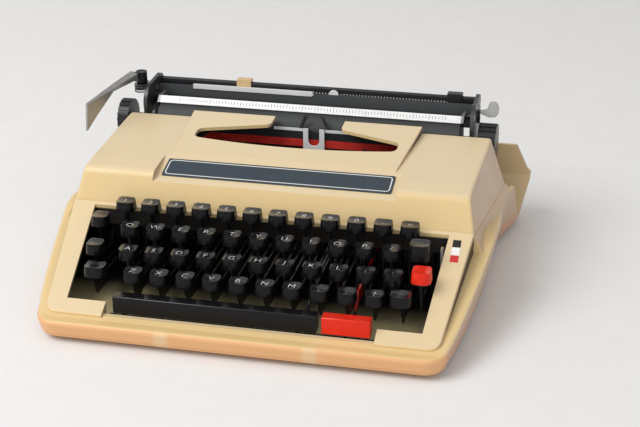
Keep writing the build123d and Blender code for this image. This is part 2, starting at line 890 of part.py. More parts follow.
live_cap_z = row_top_z[live_row] - cap_height
with BuildPart() as sample_key_cap:
    with Locations((live_x, row_y[live_row], live_cap_z)):
        add(type_cap)
sample_key_cap.part.label = "sample_key_cap"
export_step(sample_key_cap.part, "parts/sample_key_cap.step")
with BuildPart() as sample_key_lever:
    with Locations((live_x, 0, 0)):
        add(key_lever(row_y[live_row], live_cap_z))
sample_key_lever.part.label = "sample_key_lever"
export_step(sample_key_lever.part, "parts/sample_key_lever.step")


def side_key(name, cap_x, cap_y, top_z, size, lever_x):
    """A function key: a cap of its own size and the lever that carries it, two solids in one node."""
    width, depth, height = size
    cap = Pos(cap_x, cap_y, top_z - height) * key_cap(width, depth, height)
    lever = Pos(lever_x, 0, 0) * key_lever(cap_y, top_z - height)
    export_step(Compound(label=name, children=[cap, lever]), "parts/" + name + ".step")


side_key("margin_release_key", margin_release_x, margin_release_y, margin_release_z, small_cap, margin_release_x)
side_key("shift_lock_key", shift_lock_x, row_y[2], shift_lock_z, small_cap, shift_lock_x)
side_key("backspace_key", backspace_x, row_y[1], backspace_z, backspace_cap, backspace_x)
side_key("tab_key", tab_x, row_y[2], tab_z, tab_cap, tab_x)

# The two shift keys share one bar behind the axle, so they sink together
shift_lever = key_lever(row_y[3], shift_z - shift_cap[2])
with BuildPart() as shift_yoke:
    with Locations((-shift_lever_x, 0, 0), (shift_lever_x, 0, 0)):
        add(shift_lever)
    with BuildSketch(Plane.YZ.offset(-shift_lever_x)):
        with Locations((lever_rear_y + shift_bar_gap + shift_bar / 2, axle_z)):
            Rectangle(shift_bar, shift_bar)
    extrude(amount=2 * shift_lever_x)
    # Ears that carry the bar behind the two levers
    for side in (-1, 1):
        with BuildSketch(Plane.YZ.offset(side * shift_lever_x)):
            with Locations((lever_rear_y + shift_bar_gap / 2, axle_z)):
                Rectangle(shift_bar_gap + 2, shift_bar)
        extrude(amount=lever_thickness / 2, both=True)
shift_caps = [Pos(side * shift_cap_x, row_y[3], shift_z - shift_cap[2]) * key_cap(*shift_cap) for side in (-1, 1)]
export_step(Compound(label="shift_keys", children=[shift_yoke.part] + shift_caps), "parts/shift_keys.step")


def bar_key(name, left, right, arm_xs):
    """A long bar in the front bay, carried by arms that pass low under the bottom row to the axle."""
    with BuildPart() as bar:
        with BuildSketch(Plane.YZ.offset(left)):
            with Locations((bar_front_y + bar_depth / 2, bar_low_z + bar_height / 2)):
                Rectangle(bar_depth, bar_height)
        extrude(amount=right - left)
        fillet(bar.edges().filter_by(Axis.X).group_by(Axis.Z)[-1], bar_round)
    with BuildPart() as arm:
        with BuildSketch(Plane.YZ):
            add(polygon(arm_outline()))
        extrude(amount=lever_thickness / 2, both=True)
    with BuildPart() as arms:
        with Locations(*[(x, 0, 0) for x in arm_xs]):
            add(arm.part)
    export_step(Compound(label=name, children=[bar.part, *arms.solids()]), "parts/" + name + ".step")


def arm_outline():
    """Side view of a bar's arm: a foot under the bar, a low run, a rise, and a hook over the axle."""
    front = bar_front_y + bar_depth / 2 - stem_width / 2
    return [(axle_y - hook_half, lever_low_z), (axle_y - hook_half, axle_z + hook_half),
            (axle_y + hook_half, axle_z + hook_half), (axle_y + hook_half, lever_low_z),
            (lever_rear_y, lever_low_z), (lever_rear_y, lever_top_z), (arm_rise_y + stem_run, lever_top_z),
            (arm_rise_y, arm_top_z), (front + stem_width, arm_top_z), (front + stem_width, bar_low_z),
            (front, bar_low_z), (front, arm_low_z), (arm_rise_y, arm_low_z), (arm_rise_y + stem_run, lever_low_z)]


bar_key("space_bar", space_left, space_right, [space_arm_left_x, space_arm_right_x])
bar_key("repeat_spacer", repeat_left, repeat_right, [repeat_arm_x])


# Type basket. Every typebar turns about a point of one circle around the printing point.
def on_fan(radius, angle):
    """Place on a circle about the printing point, the angle being taken from straight down."""
    return (print_x + radius * sin(radians(angle)), print_z - radius * cos(radians(angle)))


def arc_band(inner, outer, start, end):
    """A band between two circles about the printing point, from one angle to another."""
    middle = (start + end) / 2
    with BuildSketch() as band:
        with BuildLine():
            outside = ThreePointArc(on_fan(outer, start), on_fan(outer, middle), on_fan(outer, end))
            inside = ThreePointArc(on_fan(inner, end), on_fan(inner, middle), on_fan(inner, start))
            Line(outside @ 1, inside @ 0)
            Line(inside @ 1, outside @ 0)
        make_face()
    return band.sketch


bar_angles = [(i - fan_middle) * fan_step for i in range(fan_count)]
segment_front_y = fan_y - segment_thickness / 2
slot_depth = bar_pivot_depth + segment_thickness / 2

with BuildPart() as type_segment:
    with BuildSketch(Plane.XZ.offset(-segment_front_y)):
        add(arc_band(fan_radius - segment_inside, fan_radius + segment_outside, bar_angles[0] - 4, bar_angles[-1] + 4))
        with Locations((print_x, (pan_foot_z + segment_foot_top) / 2)):
            Rectangle(segment_foot_width, segment_foot_top - pan_foot_z)
    extrude(amount=-segment_thickness)
    for angle in bar_angles:
        slot_plane = Plane(
            origin=(print_x, segment_front_y, print_z),
            x_dir=(cos(radians(angle)), 0, sin(radians(angle))),
            z_dir=(0, -1, 0),
        )
        with BuildSketch(slot_plane):
            with Locations((0, -(fan_radius - segment_inside + segment_slot) / 2 - 15)):
                Rectangle(typebar_thickness + 2 * fan_gap, fan_radius + segment_slot - 30 + segment_inside)
        extrude(amount=-slot_depth, mode=Mode.SUBTRACT)
type_segment.part.label = "type_segment"
export_step(type_segment.part, "parts/type_segment.step")

# A typebar at rest points forward, and its type faces up toward the printing point's line
with BuildPart() as typebar:
    with BuildSketch(Plane.YZ.offset(print_x)):
        add(polygon([(fan_y + typebar_height / 2, print_z - fan_radius - typebar_height / 2),
                     (fan_y + typebar_height / 2, print_z - fan_radius + typebar_height / 2),
                     (fan_y - fan_radius - type_height / 2, print_z - fan_radius + typebar_height / 2),
                     (fan_y - fan_radius - type_height / 2, print_z - fan_radius - typebar_height / 2)]))
    extrude(amount=typebar_thickness / 2, both=True)
    with BuildSketch(Plane.XY.offset(print_z - fan_radius + typebar_height / 2)):
        with Locations((print_x, fan_y - fan_radius)):
            Rectangle(type_width, type_height)
    extrude(amount=type_depth)

with BuildPart() as typebars:
    for angle in bar_angles:
        if angle != 0:
            add(typebar.part.rotate(Axis((print_x, 0, print_z), (0, 1, 0)), -angle))
typebars.part.label = "typebars"
export_step(typebars.part, "parts/typebars.step")

typebar.part.label = "sample_typebar"
export_step(typebar.part, "parts/sample_typebar.step")

# Padded rests for the outer typebars, each with a tab that meets its spool shelf
with BuildPart() as type_rest:
    for side in (-1, 1):
        band_ends = sorted((side * rest_start, side * rest_end))
        with BuildSketch(Plane.XZ.offset(-rest_y)):
            add(arc_band(fan_radius + rest_gap, fan_radius + rest_gap + rest_width, *band_ends))
        extrude(amount=-rest_depth)
        tab_inner = print_x + side * (fan_radius + rest_gap - 4)
        with BuildSketch(Plane.XY.offset(shelf_z)):
            with Locations(((tab_inner + side * shelf_inner_x) / 2, rest_y + rest_depth / 2)):
                Rectangle(abs(side * shelf_inner_x - tab_inner), rest_depth)
        extrude(amount=-chassis_sheet)
type_rest.part.label = "type_rest"
export_step(type_rest.part, "parts/type_rest.step")


# Type guide: a fork behind the rising type, fixed to the back of the segment
guide_y = fan_y + segment_thickness / 2
with BuildPart() as type_guide:
    with BuildSketch(Plane.XZ.offset(-guide_y)):
        with Locations((print_x, (guide_low_z + guide_high_z) / 2)):
            Rectangle(guide_width, guide_high_z - guide_low_z)
        with Locations((print_x, (guide_notch_z + guide_high_z) / 2 + guide_notch / 4)):
            Rectangle(guide_notch, guide_high_z - guide_notch_z - guide_notch / 2, mode=Mode.SUBTRACT)
        with Locations((print_x, guide_notch_z + guide_notch / 2)):
            Circle(guide_notch / 2, mode=Mode.SUBTRACT)
    extrude(amount=-guide_sheet)
type_guide.part.label = "type_guide"
export_step(type_guide.part, "parts/type_guide.step")

# Card holder: two slanted fingers and a clear strip close before the platen, on a foot behind the segment
with BuildPart() as card_holder:
    with BuildSketch(Plane.XZ.offset(-card_y)):
        for side in (-1, 1):
            foot_x = print_x + side * card_foot_x
            tip_x = print_x + side * card_tip_x
            add(polygon([(foot_x, guide_high_z - 2), (foot_x + side * card_width, guide_high_z - 2),
                         (tip_x + side * card_width, card_tip_z), (tip_x, card_tip_z)]))
            with Locations((tip_x + side * card_width / 2, card_tip_z - card_width / 2)):
                Circle(card_width / 2)
                Circle(card_hole, mode=Mode.SUBTRACT)
        with Locations((print_x, guide_high_z - 3)):
            Rectangle(2 * card_strip_x, 4)
        with Locations((print_x, guide_high_z)):
            Rectangle(guide_notch, 12, mode=Mode.SUBTRACT)
        for side in (-1, 1):
            with Locations((print_x + side * (guide_width / 2 - 1.5), (guide_low_z + guide_high_z) / 2)):
                Rectangle(3, guide_high_z - guide_low_z)
        with Locations((print_x, guide_low_z + 4)):
            Rectangle(guide_width, 8)
    extrude(amount=-card_sheet)
    # Spacer block between the fingers' foot and the type guide
    with BuildSketch(Plane.XZ.offset(-card_y)):
        with Locations((print_x, guide_low_z + 4)):
            Rectangle(guide_width, 8)
    extrude(amount=card_y - guide_y - guide_sheet)
card_holder.part.label = "card_holder"
export_step(card_holder.part, "parts/card_holder.step")

# Ribbon spools on their cups
cup_z = shelf_z
for side, side_name in ((-1, "left"), (1, "right")):
    with BuildPart() as spool:
        with BuildSketch(Plane.XZ.offset(-spool_y)):
            with BuildLine():
                x = side * spool_x
                Polyline((x + spool_bore, spool_low_z), (x + spool_radius, spool_low_z),
                         (x + spool_radius, spool_low_z + 1), (x + spool_pack, spool_low_z + 1),
                         (x + spool_pack, spool_high_z - 1), (x + spool_radius, spool_high_z - 1),
                         (x + spool_radius, spool_high_z), (x + spool_bore, spool_high_z), close=True)
            make_face()
        revolve(axis=Axis((side * spool_x, spool_y, 0), (0, 0, 1)))
    spool.part.label = "ribbon_spool_" + side_name
    export_step(spool.part, "parts/ribbon_spool_" + side_name + ".step")

with BuildPart() as spool_cups:
    for side in (-1, 1):
        with BuildSketch(Plane((side * spool_x, spool_y, cup_z))):
            Circle(cup_radius)
        extrude(amount=cup_sheet)
        with BuildSketch(Plane((side * spool_x, spool_y, cup_z))):
            Circle(spool_bore - bearing_gap)
        extrude(amount=spool_high_z + 1 - cup_z)
spool_cups.part.label = "spool_cups"
export_step(spool_cups.part, "parts/spool_cups.step")

# Ribbon: a straight run before the platen and two runs that fall to the spools
with BuildPart() as ribbon:
    with BuildSketch(Plane.XZ.offset(-ribbon_y)):
        with Locations((0, ribbon_z)):
            Rectangle(2 * ribbon_run_x, ribbon_width)
    extrude(amount=-ribbon_sheet)
    for side in (-1, 1):
        start = Vector(side * ribbon_run_x, ribbon_y + ribbon_sheet / 2, 0)
        wrap = spool_pack + ribbon_sheet
        away = sqrt((ribbon_run_x - spool_x) ** 2 + (start.Y - spool_y) ** 2)
        bearing = atan2(start.Y - spool_y, ribbon_run_x - spool_x) - acos(wrap / away)
        end = Vector(side * (spool_x + wrap * cos(bearing)), spool_y + wrap * sin(bearing), 0)
        run = end - start
        run_plane = Plane(origin=start, x_dir=run, z_dir=(-run.Y, run.X, 0))
        up = 1 if run_plane.y_dir.Z > 0 else -1
        fall = (spool_low_z + spool_high_z) / 2
        half = ribbon_width / 2
        with BuildSketch(run_plane):
            level = run.length - spool_radius
            add(polygon([(-ribbon_sheet / 2, up * (ribbon_z - half)), (level, up * (fall - half)),
                         (run.length, up * (fall - half)), (run.length, up * (fall + half)),
                         (level, up * (fall + half)), (-ribbon_sheet / 2, up * (ribbon_z + half))]))
        extrude(amount=ribbon_sheet / 2, both=True)
ribbon.part.label = "ribbon"
export_step(ribbon.part, "parts/ribbon.step")

# Mainspring drum, escapement wheel and bell under the carriage
with BuildPart() as mainspring_drum:
    with BuildSketch(Plane((drum_x, drum_y, drum_z))):
        Circle(drum_radius)
        Circle(drum_pin + bearing_gap, mode=Mode.SUBTRACT)
    extrude(amount=drum_height)
mainspring_drum.part.label = "mainspring_drum"
export_step(mainspring_drum.part, "parts/mainspring_drum.step")

with BuildPart() as escapement_wheel:
    with BuildSketch(Plane((0, wheel_y, wheel_z))):
        Circle(wheel_radius)
        with PolarLocations(wheel_radius, wheel_teeth):
            Rectangle(wheel_tooth, wheel_tooth, mode=Mode.SUBTRACT)
        Circle(drum_pin + bearing_gap, mode=Mode.SUBTRACT)
    extrude(amount=wheel_height)
escapement_wheel.part.label = "escapement_wheel"
export_step(escapement_wheel.part, "parts/escapement_wheel.step")

# Posts that carry the drum and the wheel, standing on the pan's floor
with BuildPart() as spindle_posts:
    for x, y, z, height in ((drum_x, drum_y, drum_z, drum_height), (0, wheel_y, wheel_z, wheel_height)):
        with BuildSketch(Plane((x, y, pan_foot_z))):
            Circle(post_radius)
        extrude(amount=z - bearing_gap - pan_foot_z)
        with BuildSketch(Plane((x, y, pan_foot_z))):
            Circle(drum_pin)
        extrude(amount=z + height - pan_foot_z)
spindle_posts.part.label = "spindle_posts"
export_step(spindle_posts.part, "parts/spindle_posts.step")

with BuildPart() as margin_bell:
    with BuildSketch(Plane.XZ.offset(-bell_y)):
        with BuildLine():
            crown = ThreePointArc((bell_x, bell_z + bell_height), (bell_x + bell_radius * 0.75, bell_z + bell_height * 0.7),
                                  (bell_x + bell_radius, bell_z))
            Line(crown @ 1, (bell_x + bell_radius - bell_wall, bell_z))
            inner = ThreePointArc((bell_x + bell_radius - bell_wall, bell_z),
                                  (bell_x + (bell_radius - bell_wall) * 0.75, bell_z + (bell_height - bell_wall) * 0.7),
                                  (bell_x + bell_post, bell_z + bell_height - bell_wall))
            Polyline(inner @ 1, (bell_x + bell_post, pan_foot_z), (bell_x, pan_foot_z), (bell_x, bell_z + bell_height))
        make_face()
    revolve(axis=Axis((bell_x, bell_y, 0), (0, 0, 1)))
margin_bell.part.label = "margin_bell"
export_step(margin_bell.part, "parts/margin_bell.step")

# Colour selector: a small lever that shows at the right edge of the key well
with BuildPart() as ribbon_selector:
    with BuildSketch(Plane.YZ.offset(chassis_half + seat_gap)):
        add(polygon([(selector_y - 2, selector_pivot_z - 2), (selector_y - 2, selector_top_z),
                     (selector_y + 2, selector_top_z), (selector_y + 2, selector_pivot_z + 5),
                     (selector_pivot_y, selector_pivot_z + 4), (selector_pivot_y, selector_pivot_z - 4)]))
        with Locations((selector_pivot_y, selector_pivot_z)):
            Circle(4)
            Circle(small_pin + bearing_gap, mode=Mode.SUBTRACT)
    extrude(amount=chassis_sheet)
ribbon_selector.part.label = "ribbon_selector"
export_step(ribbon_selector.part, "parts/ribbon_selector.step")

# Carriage bed: a channel with two runners on the rails
with BuildPart() as carriage_bed:
    with BuildSketch(Plane.YZ.offset(carriage_left)):
        add(polygon([(bed_front_y, bed_z), (bed_front_y, bed_z + bed_lip), (bed_front_y + bed_sheet, bed_z + bed_lip),
                     (bed_front_y + bed_sheet, bed_z + bed_sheet), (bed_rear_y - bed_sheet, bed_z + bed_sheet),
                     (bed_rear_y - bed_sheet, bed_z + 2 * bed_lip), (bed_rear_y, bed_z + 2 * bed_lip),
                     (bed_rear_y, bed_z)]))
    extrude(amount=carriage_right - carriage_left)
    with BuildSketch(Plane.XY.offset(bed_z)):
        for y in (rail_front_y, rail_rear_y):
            with Locations(((carriage_left + carriage_right) / 2, y)):
                Rectangle(runner_length, rail_width - 1)
    extrude(amount=-(bed_z - rail_z - rail_height - seat_gap))
carriage_bed.part.label = "carriage_bed"
export_step(carriage_bed.part, "parts/carriage_bed.step")


def end_plate(name, outside_x, outward, outer_pins):
    """A carriage end plate: a tall sheet with the platen's hole and a pin on its inner face for the bail."""
    with BuildPart() as plate:
        with BuildSketch(Plane.YZ.offset(outside_x)):
            with BuildLine():
                foot = Polyline((bed_front_y, bed_z), (bed_front_y, plate_shoulder_z))
                nose = ThreePointArc(foot @ 1, (bed_front_y + 4, plate_shoulder_z + 14), (axis_y + 3, plate_top_z - 1))
                brow = Line(nose @ 1, (bed_rear_y - 6, plate_top_z))
                turn = TangentArc(brow @ 1, (bed_rear_y + 2, plate_top_z - 9), tangent=brow % 1)
                Polyline(turn @ 1, (bed_rear_y + 2, bed_z), foot @ 0)
            make_face()
            with Locations((axis_y, axis_z)):
                Circle(platen_axle + bearing_gap, mode=Mode.SUBTRACT)
        extrude(amount=-outward * end_sheet)
        with BuildSketch(Plane.YZ.offset(outside_x - outward * end_sheet)):
            with Locations((bail_pivot_y, bail_pivot_z)):
                Circle(bail_pin)
        extrude(amount=-outward * bail_pin_length)
        for pin_y, pin_z, pin_length in outer_pins:
            with BuildSketch(Plane.YZ.offset(outside_x)):
                with Locations((pin_y, pin_z)):
                    Circle(small_pin)
            extrude(amount=outward * pin_length)
    plate.part.label = name
    export_step(plate.part, "parts/" + name + ".step")


end_plate("end_plate_left", carriage_left - end_sheet, -1, [])
end_plate("end_plate_right", carriage_right + end_sheet, 1, [(release_y, release_z, release_sheet + seat_gap)])

with BuildPart() as platen:
    with BuildSketch(Plane.YZ.offset(platen_left)):
        with Locations((axis_y, axis_z)):
            Circle(platen_radius)
    extrude(amount=platen_right - platen_left)
    with BuildSketch(Plane.YZ.offset(knob_left_x)):
        with Locations((axis_y, axis_z)):
            Circle(platen_axle)
    extrude(amount=knob_right_x - knob_left_x)
platen.part.label = "platen"
export_step(platen.part, "parts/platen.step")


def knob(name, start_x, length, radius):
    """A platen knob with finger ribs round its rim."""
    with BuildPart() as grip:
        with BuildSketch(Plane.YZ.offset(start_x)):
            with Locations((axis_y, axis_z)):
                Circle(radius)
                with PolarLocations(radius, knob_ribs):
                    Rectangle(knob_groove, knob_groove, mode=Mode.SUBTRACT)
        extrude(amount=length)
    grip.part.label = name
    export_step(grip.part, "parts/" + name + ".step")


knob("platen_knob_left", knob_left_x - knob_left_length, knob_left_length, knob_left_radius)
knob("platen_knob_right", knob_right_x, knob_right_length, knob_right_radius)

with BuildPart() as ratchet_wheel:
    with BuildSketch(Plane.YZ.offset(platen_left - ratchet_gap - ratchet_sheet)):
        with Locations((axis_y, axis_z)):
            Circle(ratchet_radius)
            with PolarLocations(ratchet_radius, ratchet_teeth):
                Rectangle(wheel_tooth, wheel_tooth, mode=Mode.SUBTRACT)
            Circle(platen_axle, mode=Mode.SUBTRACT)
    extrude(amount=ratchet_sheet)
ratchet_wheel.part.label = "ratchet_wheel"
export_step(ratchet_wheel.part, "parts/ratchet_wheel.step")

# Feed rollers under the platen, each a rod with three rubber sleeves, between the end plates
with BuildPart() as feed_rollers:
    for y in (axis_y - feed_offset, axis_y + feed_offset):
        with BuildSketch(Plane.YZ.offset(carriage_left)):
            with Locations((y, feed_z)):
                Circle(feed_rod)
        extrude(amount=carriage_right - carriage_left)
        for x in (-feed_spacing, 0, feed_spacing):
            with BuildSketch(Plane.YZ.offset(x - feed_length / 2)):
                with Locations((y, feed_z)):
                    Circle(feed_radius)
            extrude(amount=feed_length)
feed_rollers.part.label = "feed_rollers"
export_step(feed_rollers.part, "parts/feed_rollers.step")

# Paper table behind the platen, and the strip that lies on its top edge
with BuildPart() as paper_table:
    with BuildSketch(Plane.YZ.offset(carriage_left)):
        add(polygon([(table_low_y, table_low_z), (table_mid_y, table_mid_z), (table_top_y, table_top_z),
                     (table_top_y + table_sheet, table_top_z), (table_mid_y + table_sheet, table_mid_z),
                     (table_low_y + table_sheet, table_low_z)]))
    extrude(amount=carriage_right - carriage_left)
paper_table.part.label = "paper_table"
export_step(paper_table.part, "parts/paper_table.step")

with BuildPart() as paper_support:
    with BuildSketch(Plane.XY.offset(table_top_z)):
        add(polygon([(support_left, table_top_y - 1), (support_right - 3, table_top_y - 1),
                     (support_right, table_top_y + support_width), (support_left, table_top_y + support_width)]))
    extrude(amount=support_sheet)
paper_support.part.label = "paper_support"
export_step(paper_support.part, "parts/paper_support.step")

# Rear bar, and the toothed margin rack before it
with BuildPart() as rear_bar:
    with BuildSketch(Plane.YZ.offset(carriage_left)):
        with Locations((bar_y, bar_z)):
            Rectangle(bar_thickness, bar_tall)
    extrude(amount=carriage_right - carriage_left)
    fillet(rear_bar.edges().filter_by(Axis.X).group_by(Axis.Z)[-1], bar_thickness / 3)
rear_bar.part.label = "rear_bar"
export_step(rear_bar.part, "parts/rear_bar.step")

with BuildPart() as margin_rack:
    with BuildSketch(Plane.XZ.offset(-rack_y)):
        with Locations(((carriage_left + carriage_right) / 2, rack_z)):
            Rectangle(carriage_right - carriage_left, rack_tall)
        with Locations((0, rack_z + rack_tall / 2)):
            with GridLocations(rack_pitch, 1, rack_teeth, 1):
                Rectangle(rack_pitch / 2, rack_tooth, mode=Mode.SUBTRACT)
    extrude(amount=-rack_sheet)
margin_rack.part.label = "margin_rack"
export_step(margin_rack.part, "parts/margin_rack.step")


def margin_stop(name, x):
    """A stop that straddles the rear bar, with a finger tab on top."""
    with BuildPart() as stop:
        with BuildSketch(Plane.YZ.offset(x - stop_length / 2)):
            with Locations((bar_y, bar_z + stop_rise)):
                Rectangle(bar_thickness + 2 * seat_gap + 2 * stop_wall, bar_tall)
            with Locations((bar_y, bar_z - stop_wall + seat_gap / 2)):
                Rectangle(bar_thickness + 2 * seat_gap, bar_tall + 2 * stop_wall + seat_gap, mode=Mode.SUBTRACT)
        extrude(amount=stop_length)
    stop.part.label = name
    export_step(stop.part, "parts/" + name + ".step")


margin_stop("margin_stop_left", stop_left_x)
margin_stop("margin_stop_right", stop_right_x)

# Paper bail: a scale strip with an arm at each end, hinged on the end plates' pins
with BuildPart() as paper_bail:
    tilt = radians(bail_tilt)
    strip_rear_y = bail_y + bail_width * cos(tilt)
    strip_top_z = bail_z + bail_width * sin(tilt)
    with BuildSketch(Plane.YZ.offset(bail_left)):
        add(polygon([(bail_y, bail_z), (strip_rear_y, strip_top_z),
                     (strip_rear_y + bail_sheet * sin(tilt), strip_top_z - bail_sheet * cos(tilt)),
                     (bail_y + bail_sheet * sin(tilt), bail_z - bail_sheet * cos(tilt))]))
    extrude(amount=bail_right - bail_left)
    for x in (bail_left, bail_right - bail_arm):
        with BuildSketch(Plane.YZ.offset(x)):
            add(polygon([(strip_rear_y, strip_top_z), (bail_pivot_y, bail_pivot_z + bail_eye),
                         (bail_pivot_y, bail_pivot_z - bail_eye), (bail_y, bail_z)]))
            with Locations((bail_pivot_y, bail_pivot_z)):
                Circle(bail_eye)
                Circle(bail_pin + bearing_gap, mode=Mode.SUBTRACT)
        extrude(amount=bail_arm)
paper_bail.part.label = "paper_bail"
export_step(paper_bail.part, "parts/paper_bail.step")

# Line-space lever: a long arm that widens into a hanging paddle
lever_run = Vector(lever_tip_x - lever_x, lever_tip_y - lever_y, 0)
lever_plane = Plane(origin=(lever_x, lever_y, 0), x_dir=lever_run, z_dir=(lever_run.Y, -lever_run.X, 0))
with BuildPart() as return_lever:
    with BuildSketch(lever_plane):
        reach = lever_run.length
        root = lever_pin + bearing_gap + 0.8
        add(polygon([(root, lever_z), (root, lever_z - lever_root), (0.52 * reach, lever_z - lever_root - 0.5),
                     (0.8 * reach, lever_z - 0.65 * lever_drop), (reach, lever_z - lever_drop),
                     (0.97 * reach, lever_z - lever_drop + lever_paddle)]))
    extrude(amount=lever_sheet / 2, both=True)
    with BuildSketch(Plane((lever_x, lever_y, lever_z - lever_root - 6))):
        Circle(lever_boss)
        Circle(lever_pin + bearing_gap, mode=Mode.SUBTRACT)
    extrude(amount=lever_root + 6)
return_lever.part.label = "return_lever"
export_step(return_lever.part, "parts/return_lever.step")

with BuildPart() as lever_bracket:
    with BuildSketch(Plane.XY.offset(lever_z - lever_root - 6 - seat_gap)):
        bracket_reach = carriage_left - end_sheet - lever_x + lever_boss
        with Locations((carriage_left - end_sheet - bracket_reach / 2, lever_y)):
            Rectangle(bracket_reach, 2 * lever_boss)
    extrude(amount=-bracket_sheet)
    with BuildSketch(Plane((lever_x, lever_y, lever_z - lever_root - 6 - seat_gap))):
        Circle(lever_pin)
    extrude(amount=lever_root + 6)
lever_bracket.part.label = "lever_bracket"
export_step(lever_bracket.part, "parts/lever_bracket.step")

# Paper release lever with its clear tab, at the right end
with BuildPart() as paper_release:
    with BuildSketch(Plane.YZ.offset(carriage_right + end_sheet + seat_gap)):
        with Locations((release_y, (release_z + release_tab_z + release_tab) / 2)):
            Rectangle(4, release_tab_z + release_tab - release_z)
        with Locations((release_y, release_z)):
            Circle(3.5)
            Circle(small_pin + bearing_gap, mode=Mode.SUBTRACT)
    extrude(amount=release_sheet)
    with BuildSketch(Plane.XZ.offset(-release_y)):
        with Locations((carriage_right + end_sheet + seat_gap + release_reach / 2, release_tab_z + release_tab / 2)):
            Rectangle(release_reach, release_tab)
    extrude(amount=1, both=True)
paper_release.part.label = "paper_release_lever"
export_step(paper_release.part, "parts/paper_release_lever.step")
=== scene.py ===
import math
import bmesh
import bpy
import numpy as np
from mathutils import Matrix, Vector


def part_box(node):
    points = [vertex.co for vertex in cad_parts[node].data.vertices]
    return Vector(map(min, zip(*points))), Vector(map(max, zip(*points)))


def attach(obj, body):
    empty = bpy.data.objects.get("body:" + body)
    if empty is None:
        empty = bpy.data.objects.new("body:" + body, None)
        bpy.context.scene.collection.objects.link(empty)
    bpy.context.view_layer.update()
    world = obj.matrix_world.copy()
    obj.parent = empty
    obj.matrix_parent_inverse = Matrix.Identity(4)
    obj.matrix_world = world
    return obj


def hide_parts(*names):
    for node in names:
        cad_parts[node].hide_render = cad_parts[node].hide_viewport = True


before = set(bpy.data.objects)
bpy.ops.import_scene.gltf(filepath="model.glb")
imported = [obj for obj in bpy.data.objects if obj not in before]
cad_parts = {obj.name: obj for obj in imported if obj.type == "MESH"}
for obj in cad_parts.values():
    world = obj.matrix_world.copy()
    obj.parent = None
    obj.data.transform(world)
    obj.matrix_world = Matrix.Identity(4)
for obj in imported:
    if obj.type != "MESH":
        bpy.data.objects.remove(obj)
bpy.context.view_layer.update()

# %% [markdown]
# A portable typewriter stands on a pale table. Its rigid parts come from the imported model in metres, and this
# file gives them their looks. It goes from the big things to the small ones: camera, finishes, light, then each
# group of pieces. Every new piece rides on the part that carries it, so it moves when that part moves.

# %% [markdown]
# The camera looks down at the keyboard from a little to the typist's right. Its place follows from two angles
# and a distance round one point of the machine, which is easier to tune than three coordinates.

# %% Camera
PHOTO_WIDTH = 640
FOCAL_PIXELS = 1455.0
SENSOR = 36.0
AIM = Vector((0.0398, -0.050, 0.073))
YAW, PITCH, ROLL = math.radians(13.0), math.radians(24.0), math.radians(-0.43)
DISTANCE = 1.030

toward = Vector((math.sin(YAW) * math.cos(PITCH), -math.cos(YAW) * math.cos(PITCH), math.sin(PITCH)))
level = Vector((0, 0, 1)).cross(toward).normalized()
rise = toward.cross(level)
right = level * math.cos(ROLL) + rise * math.sin(ROLL)
upward = rise * math.cos(ROLL) - level * math.sin(ROLL)
camera = bpy.data.objects.new("camera", bpy.data.cameras.new("camera"))
bpy.context.collection.objects.link(camera)
turn = Matrix((right, upward, toward)).transposed().to_4x4()
camera.matrix_world = Matrix.Translation(AIM + toward * DISTANCE) @ turn
camera.data.sensor_width = SENSOR
camera.data.lens = FOCAL_PIXELS / PHOTO_WIDTH * SENSOR
camera.data.clip_start = 0.05  # nearer than any part of the machine
bpy.context.scene.camera = camera
bpy.context.scene.view_settings.view_transform = "Standard"
print("camera at", [round(v, 3) for v in camera.matrix_world.translation], "lens", round(camera.data.lens, 2))

# %% [markdown]
# Materials come from a few small helpers. Each starts with a Principled shader and adds what the real surface
# shows: a slow drift of colour, a fine bump, and a shine that isn't quite even. All of them read Object
# coordinates in metres, so the grain has a real size and stays on the piece when it moves.


# %% Helpers for materials
def fresh(name, colour, roughness, metallic=0.0, coat=0.0):
    """A new material with its shader and one Object coordinate node."""
    made = bpy.data.materials.new(name)
    made.use_nodes = True
    nodes = made.node_tree.nodes
    shader = nodes["Principled BSDF"]
    shader.inputs["Base Color"].default_value = (*colour, 1)
    shader.inputs["Roughness"].default_value = roughness
    shader.inputs["Metallic"].default_value = metallic
    shader.inputs["Coat Weight"].default_value = coat
    shader.inputs["Coat Roughness"].default_value = 0.15
    place = nodes.new("ShaderNodeTexCoord")
    return made, shader, place.outputs["Object"]


def noise(made, where, scale, detail=3.0, stretch=None):
    """Noise whose blotches are about one metre over scale across, stretched along an axis where asked."""
    nodes, links = made.node_tree.nodes, made.node_tree.links
    if stretch is not None:
        mapping = nodes.new("ShaderNodeMapping")
        mapping.inputs["Scale"].default_value = stretch
        links.new(where, mapping.inputs["Vector"])
        where = mapping.outputs["Vector"]
    texture = nodes.new("ShaderNodeTexNoise")
    texture.inputs["Scale"].default_value = scale
    texture.inputs["Detail"].default_value = detail
    links.new(where, texture.inputs["Vector"])
    return texture.outputs["Fac"]


def ramp(made, value, *stops):
    """Colours laid out along a value, one (position, colour) for each stop."""
    node = made.node_tree.nodes.new("ShaderNodeValToRGB")
    bar = node.color_ramp
    while len(bar.elements) < len(stops):
        bar.elements.new(0.5)
    for element, (position, colour) in zip(bar.elements, stops):
        element.position = position
        element.color = (*colour, 1)
    made.node_tree.links.new(value, node.inputs["Fac"])
    return node.outputs["Color"]


def spread(made, value, low, high, new_low, new_high):
    """A value moved from one range to another and held inside it."""
    node = made.node_tree.nodes.new("ShaderNodeMapRange")
    for key, number in zip(("From Min", "From Max", "To Min", "To Max"), (low, high, new_low, new_high)):
        node.inputs[key].default_value = number
    made.node_tree.links.new(value, node.inputs["Value"])
    return node.outputs["Result"]


